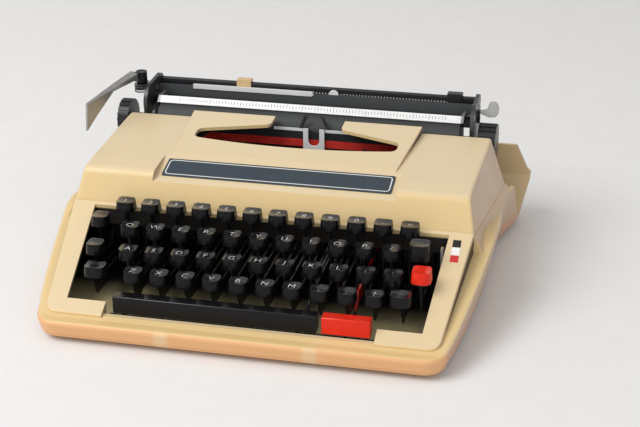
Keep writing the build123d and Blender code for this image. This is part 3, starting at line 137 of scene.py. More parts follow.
def mixed(made, amount, first, second):
    """Two colours, or sockets, mixed by an amount."""
    node = made.node_tree.nodes.new("ShaderNodeMix")
    node.data_type = "RGBA"
    made.node_tree.links.new(amount, node.inputs["Factor"])
    for socket, what in zip([s for s in node.inputs if s.type == "RGBA"], (first, second)):
        if isinstance(what, bpy.types.NodeSocket):
            made.node_tree.links.new(what, socket)
        else:
            socket.default_value = (*what, 1)
    return [s for s in node.outputs if s.type == "RGBA"][0]


def bump(made, shader, height, distance, strength=1.0):
    """A bump of a real depth in metres."""
    node = made.node_tree.nodes.new("ShaderNodeBump")
    node.inputs["Distance"].default_value = distance
    node.inputs["Strength"].default_value = strength
    made.node_tree.links.new(height, node.inputs["Height"])
    made.node_tree.links.new(node.outputs["Normal"], shader.inputs["Normal"])
    return node


def plain(name, colour, roughness, metallic=0.0, drift=0.06, grain=900.0, depth=0.00002, coat=0.0, stretch=None):
    """An even finish with a slow drift of colour, an uneven shine and a fine bump."""
    made, shader, where = fresh(name, colour, roughness, metallic, coat)
    darker = tuple(c * (1 - drift) for c in colour)
    lighter = tuple(min(1, c * (1 + drift)) for c in colour)
    slow = noise(made, where, 35.0, 4.0, stretch)
    made.node_tree.links.new(ramp(made, slow, (0.3, darker), (0.7, lighter)), shader.inputs["Base Color"])
    fine = noise(made, where, grain, 3.0, stretch)
    shine = spread(made, fine, 0.3, 0.7, max(0.03, roughness - 0.06), min(1, roughness + 0.06))
    made.node_tree.links.new(shine, shader.inputs["Roughness"])
    bump(made, shader, fine, depth)
    return made


# %% [markdown]
# Many looks here follow a number: how high a point lies, which way the surface faces, how far it is from an axis.
# Blender has a node for each step of such a sum. Short helpers keep the recipes readable: one splits a vector, one
# does arithmetic, two mark a range of values, and one leads a result into a socket of the shader.


# %% Helpers for values
def split(made, vector):
    """The three parts of a vector as sockets."""
    node = made.node_tree.nodes.new("ShaderNodeSeparateXYZ")
    made.node_tree.links.new(vector, node.inputs["Vector"])
    return node.outputs["X"], node.outputs["Y"], node.outputs["Z"]


def sums(made, kind, *values):
    """One step of arithmetic on sockets or numbers."""
    node = made.node_tree.nodes.new("ShaderNodeMath")
    node.operation = kind
    for socket, value in zip(node.inputs, values):
        if isinstance(value, bpy.types.NodeSocket):
            made.node_tree.links.new(value, socket)
        else:
            socket.default_value = value
    return node.outputs["Value"]


def apart(made, value, centre):
    """How far a value lies from a centre, on either side."""
    return sums(made, "ABSOLUTE", sums(made, "SUBTRACT", value, centre))


def within(made, value, low, high, edge):
    """1 between two bounds and 0 outside them, falling over a narrow edge."""
    above = spread(made, value, low - edge, low, 0.0, 1.0)
    below = spread(made, value, high, high + edge, 1.0, 0.0)
    return sums(made, "MULTIPLY", above, below)


def feed(made, value, shader, socket):
    """Lead a value or a colour into one of the shader's sockets."""
    made.node_tree.links.new(value, shader.inputs[socket])


def own_normal(made):
    """The surface's direction in the piece's own axes, so that it turns with the piece."""
    return made.node_tree.nodes.new("ShaderNodeTexCoord").outputs["Normal"]


# %% [markdown]
# The casing is a moulded shell in cream that has yellowed. Seen close it has a faint grain, small marks, and
# more yellow on what faces forward. Its sides are pinker and greyer, which is painted shade. The pan's front lip
# is orange, with two paler patches. Inside, the well and the pan get a nearly black painted shade, except the floor
# behind the space bar and the rear wall, which get a lighter olive painted shade. Each of these tints follows the
# height, the depth or the direction of the surface.


# %% Colours of the casing
TOP_CREAM = (0.735, 0.595, 0.375)
FRONT_CREAM = (0.735, 0.545, 0.265)
# The side pink is painted shade for walls that face sideways.
SIDE_SHADE_PINK = (0.53, 0.37, 0.26)
BLOTCH_TAN = (0.70, 0.52, 0.29)
SPECK_BROWN = (0.34, 0.25, 0.13)
LIP_TAN = (0.755, 0.415, 0.185)
LIP_PALE = (0.76, 0.52, 0.28)
# The lip's side colour is painted shade, redder and darker than its front.
LIP_SIDE_SHADE = (0.60, 0.34, 0.20)
SHELF_YELLOW = (0.735, 0.530, 0.235)
# Painted shade inside the casing: near black in the well and the pan, olive on the floor strip and the rear wall.
INNER_SHADE_BLACK = (0.012, 0.011, 0.010)
FLOOR_SHADE_OLIVE = (0.50, 0.43, 0.24)
REAR_WALL_SHADE_OLIVE = (0.66, 0.49, 0.27)
SHELL_COAT = 0.10


def shell(name, roughness):
    """Aged casing: cream above, yellower in front, pinker and darker at the sides as painted shade; gives back what
    later steps tint.
    """
    made, shader, where = fresh(name, TOP_CREAM, roughness, coat=SHELL_COAT)
    facing = split(made, own_normal(made))
    ahead = spread(made, facing[1], -0.35, -0.80, 0.0, 1.0)
    # Walls facing sideways take the pink painted shade.
    aside = spread(made, sums(made, "ABSOLUTE", facing[0]), 0.60, 0.90, 0.0, 1.0)
    tint = mixed(made, aside, mixed(made, ahead, TOP_CREAM, FRONT_CREAM), SIDE_SHADE_PINK)
    blotch = spread(made, noise(made, where, 12.0, 5.0), 0.35, 0.75, 0.0, 0.30)
    return made, shader, where, facing, mixed(made, blotch, tint, BLOTCH_TAN)


def weather(made, shader, where, tint, roughness):
    """Small dark marks, an uneven shine and a very fine grain over a tint."""
    speck = spread(made, noise(made, where, 330.0, 2.0), 0.735, 0.80, 0.0, 0.35)
    feed(made, mixed(made, speck, tint, SPECK_BROWN), shader, "Base Color")
    wear = noise(made, where, 40.0, 4.0)
    feed(made, spread(made, wear, 0.3, 0.7, roughness - 0.06, roughness + 0.08), shader, "Roughness")
    bump(made, shader, noise(made, where, 1400.0, 2.0), 0.000012)


# %% Casing of the cover
COVER_ROUGH = 0.36
cover_paint, shader, where, _, tint = shell("cover_cream", COVER_ROUGH)
weather(cover_paint, shader, where, tint, COVER_ROUGH)
print("cover", cover_paint.name)

# %% [markdown]
# The pan is one moulding with several tints. Its lip is everything below a height, pale within a few millimetres of
# two places along the front, and its ledges are what faces up. Behind the front, the lip's sides take a redder, darker
# painted shade. Bands such as (from, to) give the values between which one tint goes over into the next.

# %% Casing of the pan
PAN_ROUGH = 0.40
LIP_TOP = (0.0160, 0.0190)
PATCH_MIDDLES, PATCH_EDGE = (-0.051, 0.053), (0.0030, 0.0065)
FRONT_BAND = (-0.128, -0.138)
LEDGE_FACING = (0.70, 0.90)
pan_paint, shader, where, facing, tint = shell("pan_cream", PAN_ROUGH)
x, y, z = split(pan_paint, where)
patches = [spread(pan_paint, apart(pan_paint, x, middle), *PATCH_EDGE, 1.0, 0.0) for middle in PATCH_MIDDLES]
front_lip = mixed(pan_paint, sums(pan_paint, "MAXIMUM", *patches), LIP_TAN, LIP_PALE)
# Behind the front band the lip takes its darker side colour: painted shade.
lip = mixed(pan_paint, spread(pan_paint, y, *FRONT_BAND, 0.0, 1.0), LIP_SIDE_SHADE, front_lip)
tint = mixed(pan_paint, spread(pan_paint, z, *LIP_TOP, 1.0, 0.0), tint, lip)
tint = mixed(pan_paint, spread(pan_paint, facing[2], *LEDGE_FACING, 0.0, 0.8), tint, SHELF_YELLOW)
print("lip patches", len(patches))

# %% [markdown]
# A wall faces inward where its direction points back to the middle of the pan: the sum of x times the direction's x
# and y times the direction's y is then below zero. Those walls get a near-black painted shade, except the rear one,
# which gets a lighter olive painted shade. The floor gets painted shade too: olive on the strip behind the space bar,
# near black further back.

# %% Inner walls and floor of the pan
INWARD = (-0.010, -0.030)
REAR_BAND = (0.070, 0.090)
FLOOR_TOP, FLOOR_BAND, FLOOR_FACING = (0.0105, 0.0115), (-0.085, -0.055), (0.5, 0.7)
outward_x, outward_y = (sums(pan_paint, "MULTIPLY", place, way) for place, way in zip((x, y), facing))
# Inward walls get painted shade: near black, lighter olive at the rear wall.
inward = spread(pan_paint, sums(pan_paint, "ADD", outward_x, outward_y), *INWARD, 0.0, 1.0)
inner = mixed(pan_paint, spread(pan_paint, y, *REAR_BAND, 0.0, 1.0), INNER_SHADE_BLACK, REAR_WALL_SHADE_OLIVE)
tint = mixed(pan_paint, inward, tint, inner)
at_floor = sums(pan_paint, "MULTIPLY", spread(pan_paint, z, *FLOOR_TOP, 1.0, 0.0),
                spread(pan_paint, facing[2], *FLOOR_FACING, 0.0, 1.0))
# The floor's painted shade: olive behind the space bar, near black further back.
floor_shade = mixed(pan_paint, spread(pan_paint, y, *FLOOR_BAND, 0.0, 1.0), FLOOR_SHADE_OLIVE, INNER_SHADE_BLACK)
weather(pan_paint, shader, where, mixed(pan_paint, at_floor, tint, floor_shade), PAN_ROUGH)
print("pan nodes", len(pan_paint.node_tree.nodes))

# %% [markdown]
# The key surround is a sloping frame. Its skin is cream, and what lies deeper than the skin under the slope, in the
# well between the keys, gets a near-black painted shade. The slope is a plane, so its height follows from the distance
# to its front foot.

# %% Casing of the key surround
MASK_ROUGH = 0.38
MASK_SLOPE = math.tan(math.radians(26.0))
MASK_FOOT_Y, MASK_FOOT_Z = -0.1335, 0.0195
MASK_SKIN = (0.0022, 0.0034)
BAY_REAR = (-0.121, -0.112)
mask_paint, shader, where, _, tint = shell("surround_cream", MASK_ROUGH)
_, y, z = split(mask_paint, where)
climb = sums(mask_paint, "MULTIPLY", sums(mask_paint, "SUBTRACT", y, MASK_FOOT_Y), MASK_SLOPE)
under = sums(mask_paint, "SUBTRACT", sums(mask_paint, "ADD", climb, MASK_FOOT_Z), z)
# Below the skin, in the well, the surround gets a near-black painted shade.
well_shade = sums(mask_paint, "MULTIPLY", spread(mask_paint, under, *MASK_SKIN, 0.0, 1.0),
               spread(mask_paint, y, *BAY_REAR, 0.0, 1.0))
weather(mask_paint, shader, where, mixed(mask_paint, well_shade, tint, INNER_SHADE_BLACK), MASK_ROUGH)
print("casing materials", cover_paint.name, pan_paint.name, mask_paint.name)

# %% [markdown]
# Most small parts need only an even finish whose grain and shine fit their stuff: blackened, grey and bare steel,
# brass, rubber, hard plastic and printing ink. The helper for an even finish makes each from a few numbers.

# %% Metals
dark_steel = plain("blackened_steel", (0.030, 0.031, 0.033), 0.40, 0.5, grain=1500.0, depth=0.000006)
table_grey = plain("paper_table_grey", (0.060, 0.064, 0.066), 0.42, 0.2, grain=1500.0, depth=0.000006)
lever_steel = plain("key_lever_steel", (0.045, 0.043, 0.040), 0.30, 0.8, stretch=(1, 8, 1))
grey_steel = plain("end_plate_steel", (0.075, 0.077, 0.080), 0.36, 0.7, grain=1200.0, depth=0.000008)
bright_steel = plain("bare_steel", (0.56, 0.55, 0.53), 0.28, 1.0, stretch=(1, 1, 6))
bell_brass = plain("bell_brass", (0.65, 0.48, 0.22), 0.28, 1.0)
print("metals", len(bpy.data.materials))

# %% Plastics, rubber, enamel and inks
knob_black = plain("knob_plastic", (0.012, 0.012, 0.013), 0.36, grain=1500.0, depth=0.000005)
platen_rubber = plain("platen_rubber", (0.030, 0.032, 0.033), 0.55, grain=1800.0, depth=0.000006)
soft_rubber = plain("foot_rubber", (0.02, 0.02, 0.02), 0.7)
plate_face = plain("name_plate_enamel", (0.045, 0.062, 0.080), 0.30, 0.3, grain=1800.0, depth=0.000003,
                   stretch=(1, 6, 1))
white_plastic = plain("white_card_plastic", (0.80, 0.80, 0.79), 0.40, grain=1500.0, depth=0.000004)
stop_plastic = plain("stop_cream_plastic", (0.66, 0.46, 0.24), 0.40, grain=1500.0, depth=0.000004)
clear_plastic = plain("release_clear_plastic", (0.60, 0.61, 0.60), 0.20, grain=1500.0, depth=0.000004)
clear_plastic.node_tree.nodes["Principled BSDF"].inputs["Transmission Weight"].default_value = 0.55
ink_white = plain("printed_white", (0.82, 0.82, 0.80), 0.45, grain=1500.0, depth=0.000002)
ink_dark = plain("printed_grey", (0.10, 0.10, 0.10), 0.5, grain=1500.0, depth=0.000002)
sticker_red = plain("sticker_red", (0.62, 0.03, 0.03), 0.4, grain=1500.0, depth=0.000002)
sticker_black = plain("sticker_black", (0.012, 0.012, 0.012), 0.4, grain=1500.0, depth=0.000002)
print("with plastics", len(bpy.data.materials))

# %% [markdown]
# The return lever is brushed sheet, and the round boss at its pivot is black. The distance from the pivot's axis,
# the root of the two squares added up, says which of the two a point belongs to.

# %% Return lever's metal
LEVER_PIVOT = (-0.1415, 0.096)
BOSS_EDGE, BOSS_BLACK = (0.0056, 0.0066), (0.02, 0.02, 0.021)
SATIN_DARK, SATIN_LIGHT = (0.36, 0.355, 0.34), (0.46, 0.455, 0.44)
satin_lever, shader, where = fresh("satin_lever_metal", SATIN_LIGHT, 0.32, 0.95)
squares = [sums(satin_lever, "POWER", sums(satin_lever, "SUBTRACT", value, middle), 2.0)
           for value, middle in zip(split(satin_lever, where), LEVER_PIVOT)]
reach = sums(satin_lever, "SQRT", sums(satin_lever, "ADD", *squares))
brushed = noise(satin_lever, where, 300.0, 3.0, (1, 1, 9))
satin = mixed(satin_lever, spread(satin_lever, brushed, 0.35, 0.65, 0.0, 1.0), SATIN_DARK, SATIN_LIGHT)
past_boss = spread(satin_lever, reach, *BOSS_EDGE, 0.0, 1.0)
feed(satin_lever, mixed(satin_lever, past_boss, BOSS_BLACK, satin), shader, "Base Color")
feed(satin_lever, spread(satin_lever, brushed, 0.3, 0.7, 0.26, 0.40), shader, "Roughness")
bump(satin_lever, shader, brushed, 0.000006)
print("lever nodes", len(satin_lever.node_tree.nodes))

# %% [markdown]
# The bail is one part with two looks: a white printed strip between its arms, and plain metal arms. A point is on
# the strip when its x lies between the strip's ends.

# %% Bail's strip and arms
STRIP_ENDS = (-0.1243, 0.1200)
ARM_GREY, STRIP_DULL, STRIP_WHITE = (0.30, 0.30, 0.30), (0.74, 0.75, 0.75), (0.88, 0.89, 0.89)
bail_strip, shader, where = fresh("bail_strip", STRIP_WHITE, 0.38)
on_strip = within(bail_strip, split(bail_strip, where)[0], *STRIP_ENDS, 0.0002)
cloud = noise(bail_strip, where, 120.0, 3.0, (1, 6, 6))
white = mixed(bail_strip, spread(bail_strip, cloud, 0.35, 0.65, 0.0, 1.0), STRIP_DULL, STRIP_WHITE)
feed(bail_strip, mixed(bail_strip, on_strip, ARM_GREY, white), shader, "Base Color")
feed(bail_strip, spread(bail_strip, on_strip, 0.0, 1.0, 0.9, 0.15), shader, "Metallic")
bump(bail_strip, shader, cloud, 0.000004)
print("strip from", STRIP_ENDS[0], "to", STRIP_ENDS[1])

# %% [markdown]
# Fingers have polished the tops of the keys, and their sides have stayed dull. The clear coat therefore follows how
# far the surface faces up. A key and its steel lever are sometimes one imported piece, so below the cap it turns dark.


# %% Key plastic
def key_plastic(name, colour, cap_low=0.0):
    """Moulded plastic with a polished top, dull sides, and dark steel below the cap's lower edge."""
    made, shader, where = fresh(name, colour, 0.3)
    shader.inputs["Specular IOR Level"].default_value = 0.20
    feed(made, spread(made, split(made, own_normal(made))[2], 0.55, 0.9, 0.0, 0.95), shader, "Coat Weight")
    feed(made, spread(made, noise(made, where, 260.0, 3.0), 0.3, 0.7, 0.20, 0.34), shader, "Roughness")
    uneven = spread(made, noise(made, where, 90.0), 0.3, 0.7, 0.0, 1.0)
    drift = mixed(made, uneven, tuple(c * 0.85 for c in colour), colour)
    above = spread(made, split(made, where)[2], cap_low, cap_low + 0.0002, 0.0, 1.0)
    feed(made, mixed(made, above, STEM_BLACK, drift), shader, "Base Color")
    bump(made, shader, noise(made, where, 1500.0), 0.000003)
    return made


STEM_BLACK = (0.020, 0.020, 0.020)
CAP_BODY, SPACER_LOW = 0.0086, 0.0045
SIGNAL_RED = (0.80, 0.028, 0.010)
key_black = key_plastic("key_black_plastic", (0.0055, 0.0055, 0.0065))
key_red = key_plastic("key_red_plastic", SIGNAL_RED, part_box("tab_key")[1][2] - CAP_BODY)
spacer_red = key_plastic("repeat_red_plastic", SIGNAL_RED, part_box("space_bar")[0][2] + SPACER_LOW)
bar_black = key_plastic("space_bar_plastic", (0.0065, 0.0065, 0.0075))
print("key plastics", key_black.name, key_red.name, spacer_red.name, bar_black.name)

# %% [markdown]
# The ribbon is woven cloth, black in its upper half and red in its lower one, so one height divides it.

# %% Ribbon
RIBBON_MIDDLE, RIBBON_EDGE = 0.0786, 0.0002
RIBBON_BLACK, RED_BRIGHT, RED_DARK = (0.012, 0.012, 0.013), (0.66, 0.035, 0.016), (0.50, 0.012, 0.010)
ribbon_ink, shader, where = fresh("inked_ribbon", RIBBON_BLACK, 0.75)
upper_half = spread(ribbon_ink, split(ribbon_ink, where)[2], RIBBON_MIDDLE - RIBBON_EDGE, RIBBON_MIDDLE + RIBBON_EDGE,
                    0.0, 1.0)
worn = spread(ribbon_ink, noise(ribbon_ink, where, 60.0), 0.35, 0.65, 0.0, 1.0)
red = mixed(ribbon_ink, worn, RED_BRIGHT, RED_DARK)
feed(ribbon_ink, mixed(ribbon_ink, upper_half, red, RIBBON_BLACK), shader, "Base Color")
bump(ribbon_ink, shader, noise(ribbon_ink, where, 2500.0), 0.00003)
print("ribbon divides at", RIBBON_MIDDLE)

# %% [markdown]
# The card holder is dark sheet with a white printed strip on both sides of its middle fork. The strip is what lies
# between two heights and further from the middle than the fork reaches.

# %% Card holder
STRIP_LOW, STRIP_HIGH, FORK_HALF, PRINT_X = 0.0829, 0.0871, 0.0086, 0.0065
HOLDER_DARK, HOLDER_LIGHT, CARD_WHITE = (0.030, 0.030, 0.031), (0.055, 0.055, 0.056), (0.80, 0.81, 0.81)
card_finish, shader, where = fresh("card_holder_steel", HOLDER_DARK, 0.38)
x, _, z = split(card_finish, where)
beside = spread(card_finish, apart(card_finish, x, PRINT_X), FORK_HALF, FORK_HALF + 0.0002, 0.0, 1.0)
on_card = sums(card_finish, "MULTIPLY", beside, within(card_finish, z, STRIP_LOW, STRIP_HIGH, 0.0001))
steel_tone = ramp(card_finish, noise(card_finish, where, 90.0), (0.3, HOLDER_DARK), (0.7, HOLDER_LIGHT))
feed(card_finish, mixed(card_finish, on_card, steel_tone, CARD_WHITE), shader, "Base Color")
bump(card_finish, shader, noise(card_finish, where, 1500.0), 0.000005)
print("materials", len(bpy.data.materials))

# %% [markdown]
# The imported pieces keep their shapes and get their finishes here. Each node's object takes one material.


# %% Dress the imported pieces
def dress(material, *nodes):
    """Give CAD nodes a material."""
    for node in nodes:
        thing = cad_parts[node]
        thing.data.materials.clear()
        thing.data.materials.append(material)


LETTER_ROWS = ("number_row", "upper_row", "home_row", "bottom_row")
CAP_ROWS = ["key_caps_" + row for row in LETTER_ROWS]
LEVER_ROWS = ["key_levers_" + row for row in LETTER_ROWS]
dress(pan_paint, "base_pan")
dress(mask_paint, "key_surround")
dress(cover_paint, "ribbon_cover")
dress(plate_face, "name_plate")
dress(soft_rubber, "rubber_feet")
dress(platen_rubber, "platen", "feed_rollers")
dress(dark_steel, "chassis_frame", "guide_comb", "rear_bar", "margin_rack", "carriage_bed", "spool_cups",
      "type_rest", "escapement_wheel", "mainspring_drum")
dress(table_grey, "paper_table")
dress(card_finish, "card_holder")
dress(grey_steel, "end_plate_left", "end_plate_right", "ratchet_wheel", "lever_bracket", "type_segment")
dress(bright_steel, "carriage_rails", "key_lever_axle", "typebars", "sample_typebar", "spindle_posts",
      "ribbon_selector")
dress(lever_steel, "sample_key_lever", *LEVER_ROWS)
dress(satin_lever, "return_lever")
dress(bail_strip, "paper_bail")
dress(key_black, "sample_key_cap", "margin_release_key", "shift_lock_key", "backspace_key", "shift_keys", *CAP_ROWS)
dress(bar_black, "space_bar")
dress(key_red, "tab_key")
dress(spacer_red, "repeat_spacer")
dress(knob_black, "platen_knob_left", "platen_knob_right", "ribbon_spool_left", "ribbon_spool_right",
      "margin_stop_right")
dress(ribbon_ink, "ribbon")
dress(white_plastic, "type_guide", "paper_support")
dress(stop_plastic, "margin_stop_left")
dress(clear_plastic, "paper_release_lever")
dress(bell_brass, "margin_bell")
print("dressed nodes", len(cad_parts))

# %% [markdown]
# The table and the wall behind it are one sheet that curves up, as photographers use it, so there is no
# horizon. One large soft lamp stands high on the left and a weaker one fills from the front.


# %% Floor and backdrop
def sheet_mesh(name, points, material):
    """A surface from a grid of points, its faces wound from the first direction to the second."""
    rows, columns = points.shape[:2]
    mesh = bpy.data.meshes.new(name)
    index = np.arange(rows * columns).reshape(rows, columns)
    faces = np.stack([index[:-1, :-1], index[1:, :-1], index[1:, 1:], index[:-1, 1:]], -1).reshape(-1, 4)
    mesh.from_pydata(points.reshape(-1, 3).tolist(), [], faces.tolist())
    mesh.polygons.foreach_set("use_smooth", [True] * len(mesh.polygons))
    mesh.update()
    thing = bpy.data.objects.new(name, mesh)
    bpy.context.collection.objects.link(thing)
    mesh.materials.append(material)
    return thing


FLOOR_FRONT, BEND_START, BEND_RADIUS, WALL_TOP, COVE_HALF = -4.0, 1.6, 1.2, 4.0, 5.0
bend = np.linspace(0, math.pi / 2, 24)
quarter = np.stack([BEND_START + BEND_RADIUS * np.sin(bend), BEND_RADIUS - BEND_RADIUS * np.cos(bend)], 1)
sweep = np.concatenate([[[FLOOR_FRONT, 0.0]], quarter, [[BEND_START + BEND_RADIUS, WALL_TOP]]])
across = np.linspace(COVE_HALF, -COVE_HALF, 3)
cove_points = np.stack([np.broadcast_to(across, (len(sweep), 3)),
                        np.broadcast_to(sweep[:, :1], (len(sweep), 3)),
                        np.broadcast_to(sweep[:, 1:], (len(sweep), 3))], -1)
cove_paper = plain("backdrop_paper", (0.80, 0.795, 0.79), 0.85, drift=0.01)
sheet_mesh("backdrop", cove_points, cove_paper)
print("backdrop points", len(sweep) * 3)

# %% World light
WORLD_WHITE, WORLD_STRENGTH = (1.0, 0.99, 0.98, 1), 0.55
world = bpy.data.worlds.new("studio")
bpy.context.scene.world = world
world.use_nodes = True
world.node_tree.nodes["Background"].inputs["Color"].default_value = WORLD_WHITE
world.node_tree.nodes["Background"].inputs["Strength"].default_value = WORLD_STRENGTH
print("world strength", WORLD_STRENGTH)

# %% Lamps
LAMP_TARGET = Vector((0, 0, 0.05))


def lamp(name, place, size, watts):
    """A square soft lamp at a place, facing the machine."""
    light = bpy.data.lights.new(name, "AREA")
    light.size = size
    light.energy = watts
    thing = bpy.data.objects.new(name, light)
    bpy.context.collection.objects.link(thing)
    thing.location = place
    thing.rotation_euler = (LAMP_TARGET - Vector(place)).to_track_quat("-Z", "Y").to_euler()


lamp("soft_key_lamp", (-1.3, -1.0, 1.9), 1.6, 42)
lamp("front_fill_lamp", (0.9, -2.2, 1.2), 1.5, 9)
print("lamps", len(bpy.data.lights))

# %% [markdown]
# Real edges are never sharp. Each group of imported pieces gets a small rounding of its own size, added as a
# modifier, so that edges catch the light as on the real machine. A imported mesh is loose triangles, so a weld joins
# them first.

# %% Small roundings
WELD_DISTANCE, SHARP_ANGLE = 1e-6, math.radians(35)
CAP_EDGE, SMALL_EDGE, BAR_EDGE = 0.0005, 0.0004, 0.0009


def soften(width, *nodes):
    """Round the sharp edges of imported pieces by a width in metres."""
    for node in nodes:
        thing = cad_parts[node]
        thing.modifiers.new("join", "WELD").merge_threshold = WELD_DISTANCE
        edges = thing.modifiers.new("edges", "BEVEL")
        edges.width = width
        edges.segments = 2
        edges.limit_method = "ANGLE"
        edges.angle_limit = SHARP_ANGLE
        edges.use_clamp_overlap = True
        edges.harden_normals = False


soften(CAP_EDGE, "sample_key_cap", *CAP_ROWS)
soften(SMALL_EDGE, "repeat_spacer", "margin_stop_left", "margin_stop_right", "margin_release_key", "shift_lock_key",
       "backspace_key", "shift_keys", "tab_key", "return_lever", "name_plate")
soften(BAR_EDGE, "space_bar")
print("softened by", CAP_EDGE, SMALL_EDGE, BAR_EDGE)

# %% [markdown]
# New pieces are surfaces worked out with numpy: rings swept along a path, outlines pushed through a thickness,
# and flat marks. Each of these helpers takes points in metres and returns one object at the origin.


# %% Bodies from rings
def placed(name, mesh, body):
    """An object at the origin that shows a mesh and rides on a body."""
    thing = bpy.data.objects.new(name, mesh)
    bpy.context.collection.objects.link(thing)
    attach(thing, body)
    return thing


def finished(name, points, faces, material, body):
    """A mesh from points and faces, turned outward, smooth where its edges are shallow, riding on a body."""
    mesh = bpy.data.meshes.new(name)
    mesh.from_pydata(np.asarray(points).tolist(), [], faces)
    mesh.materials.append(material)
    built = bmesh.new()
    built.from_mesh(mesh)
    bmesh.ops.recalc_face_normals(built, faces=built.faces)
    built.to_mesh(mesh)
    built.free()
    mesh.polygons.foreach_set("use_smooth", [True] * len(mesh.polygons))
    mesh.set_sharp_from_angle(angle=SHARP_ANGLE)
    return placed(name, mesh, body)


def solid(name, rings, material, body):
    """A closed body from rings of points, each ring a loop, with flat ends; faces turned outward."""
    rings = np.asarray(rings, float)
    count, around = rings.shape[:2]
    index = np.arange(count * around).reshape(count, around)
    beside = np.roll(index, -1, 1)
    faces = np.stack([index[:-1], beside[:-1], beside[1:], index[1:]], -1).reshape(-1, 4).tolist()
    faces += [index[0][::-1].tolist(), index[-1].tolist()]
    return finished(name, rings.reshape(-1, 3), faces, material, body)


# %% Outlines with a thickness
SLAB_RIM = 0.0002


def slab(name, outline, push, material, body):
    """An outline pushed along a vector, with its edges drawn in a little at both faces."""
    outline, push = np.asarray(outline, float), np.asarray(push, float)
    centre = outline.mean(0)
    drawn = (centre - outline) / np.linalg.norm(outline - centre, axis=1, keepdims=True) * SLAB_RIM
    step = push / np.linalg.norm(push) * SLAB_RIM
    small = outline + drawn
    return solid(name, [small, outline + step, outline + push - step, small + push], material, body)


# %% Wires and turned pieces
SLANTED = (0.31, 0.17, 0.93)


def tube(name, path, radius, material, body, sides):
    """A round wire along a path of points: rings of radius times cosine and sine, square to the path."""
    path = np.asarray(path, float)
    ahead = np.gradient(path, axis=0)
    ahead /= np.linalg.norm(ahead, axis=1, keepdims=True)
    start = np.cross(ahead[0], SLANTED)
    rings, side = [], start / np.linalg.norm(start)
    angles = np.linspace(0, 2 * math.pi, sides, endpoint=False)
    for point, way in zip(path, ahead):
        side = side - way * side.dot(way)
        side /= np.linalg.norm(side)
        over = np.cross(way, side)
        rings.append(point + radius * (np.cos(angles)[:, None] * side + np.sin(angles)[:, None] * over))
    return solid(name, rings, material, body)


def turned(name, centre, axis, profile, material, body, sides=28):
    """A piece turned round an axis through a centre, from (distance along, radius) pairs."""
    axis = np.asarray(axis, float) / np.linalg.norm(axis)
    side = np.cross(axis, SLANTED)
    side /= np.linalg.norm(side)
    over = np.cross(axis, side)
    angles = np.linspace(0, 2 * math.pi, sides, endpoint=False)
    circle = np.cos(angles)[:, None] * side + np.sin(angles)[:, None] * over
    rings = [np.asarray(centre) + along * axis + radius * circle for along, radius in profile]
    return solid(name, rings, material, body)


# %% Flat marks and separate solids
def marks(name, corners, material, body):
    """Flat printed marks, each given by four corners."""
    corners = np.asarray(corners, float)
    faces = np.arange(len(corners) * 4).reshape(-1, 4).tolist()
    mesh = bpy.data.meshes.new(name)
    mesh.from_pydata(corners.reshape(-1, 3).tolist(), [], faces)
    mesh.materials.append(material)
    return placed(name, mesh, body)


def loose_parts(node):
    """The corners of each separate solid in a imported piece, found by following shared corners."""
    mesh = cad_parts[node].data
    points = np.empty(len(mesh.vertices) * 3)
    mesh.vertices.foreach_get("co", points)
    points = points.reshape(-1, 3)
    keys, spot = np.unique(np.round(points * 1e6).astype(np.int64), axis=0, return_inverse=True)
    spot = spot.ravel()
    edges = np.empty(len(mesh.edges) * 2, dtype=np.int64)
    mesh.edges.foreach_get("vertices", edges)
    edges = spot[edges.reshape(-1, 2)]
    label = np.arange(len(keys))
    while True:
        low = np.minimum(label[edges[:, 0]], label[edges[:, 1]])
        before = label.copy()
        np.minimum.at(label, edges[:, 0], low)
        np.minimum.at(label, edges[:, 1], low)
        label = label[label]
        if (label == before).all():
            break
    return [points[label[spot] == value] for value in np.unique(label)]


print("space bar has", len(loose_parts("space_bar")), "solid")

# %% [markdown]
# The letters stand on the hollow tops of the caps. A letter starts as flat text, becomes a mesh, and each of its
# corners is lifted to the height of the hollow under it: the lowest height plus the radius, less the square root of
# radius squared minus distance squared. The distance is how far the corner lies before or behind the cap's middle.

# %% Letters on the caps
HOLLOW_RADIUS = 0.024
HOLLOW_RISE = 0.00071
INK_LIFT = 0.00006
LETTER_SIZE, LETTER_THINNING = 0.0074, -0.00016
KEY_PITCH = 0.01905
ROW_LETTERS = {"number_row": ("1234567890-=", -5.5), "upper_row": ("QWERTYUIOP/", -5.0),
               "home_row": ("ASDFGHJKL;:", -4.75), "bottom_row": ("ZXCVBNM,.?", -4.25)}


def glyph(letter):
    """The corners and faces of one flat letter round the origin."""
    curve = bpy.data.curves.new("letter", "FONT")
    curve.body, curve.size, curve.offset = letter, LETTER_SIZE, LETTER_THINNING
    curve.align_x, curve.align_y = "CENTER", "CENTER"
    curve.resolution_u = 3
    holder = bpy.data.objects.new("letter", curve)
    bpy.context.collection.objects.link(holder)
    bpy.context.view_layer.update()
    mesh = bpy.data.meshes.new_from_object(holder.evaluated_get(bpy.context.evaluated_depsgraph_get()))
    points = np.array([tuple(v.co) for v in mesh.vertices])
    faces = [list(p.vertices) for p in mesh.polygons]
    bpy.data.objects.remove(holder)
    bpy.data.curves.remove(curve)
    bpy.data.meshes.remove(mesh)
    return points, faces


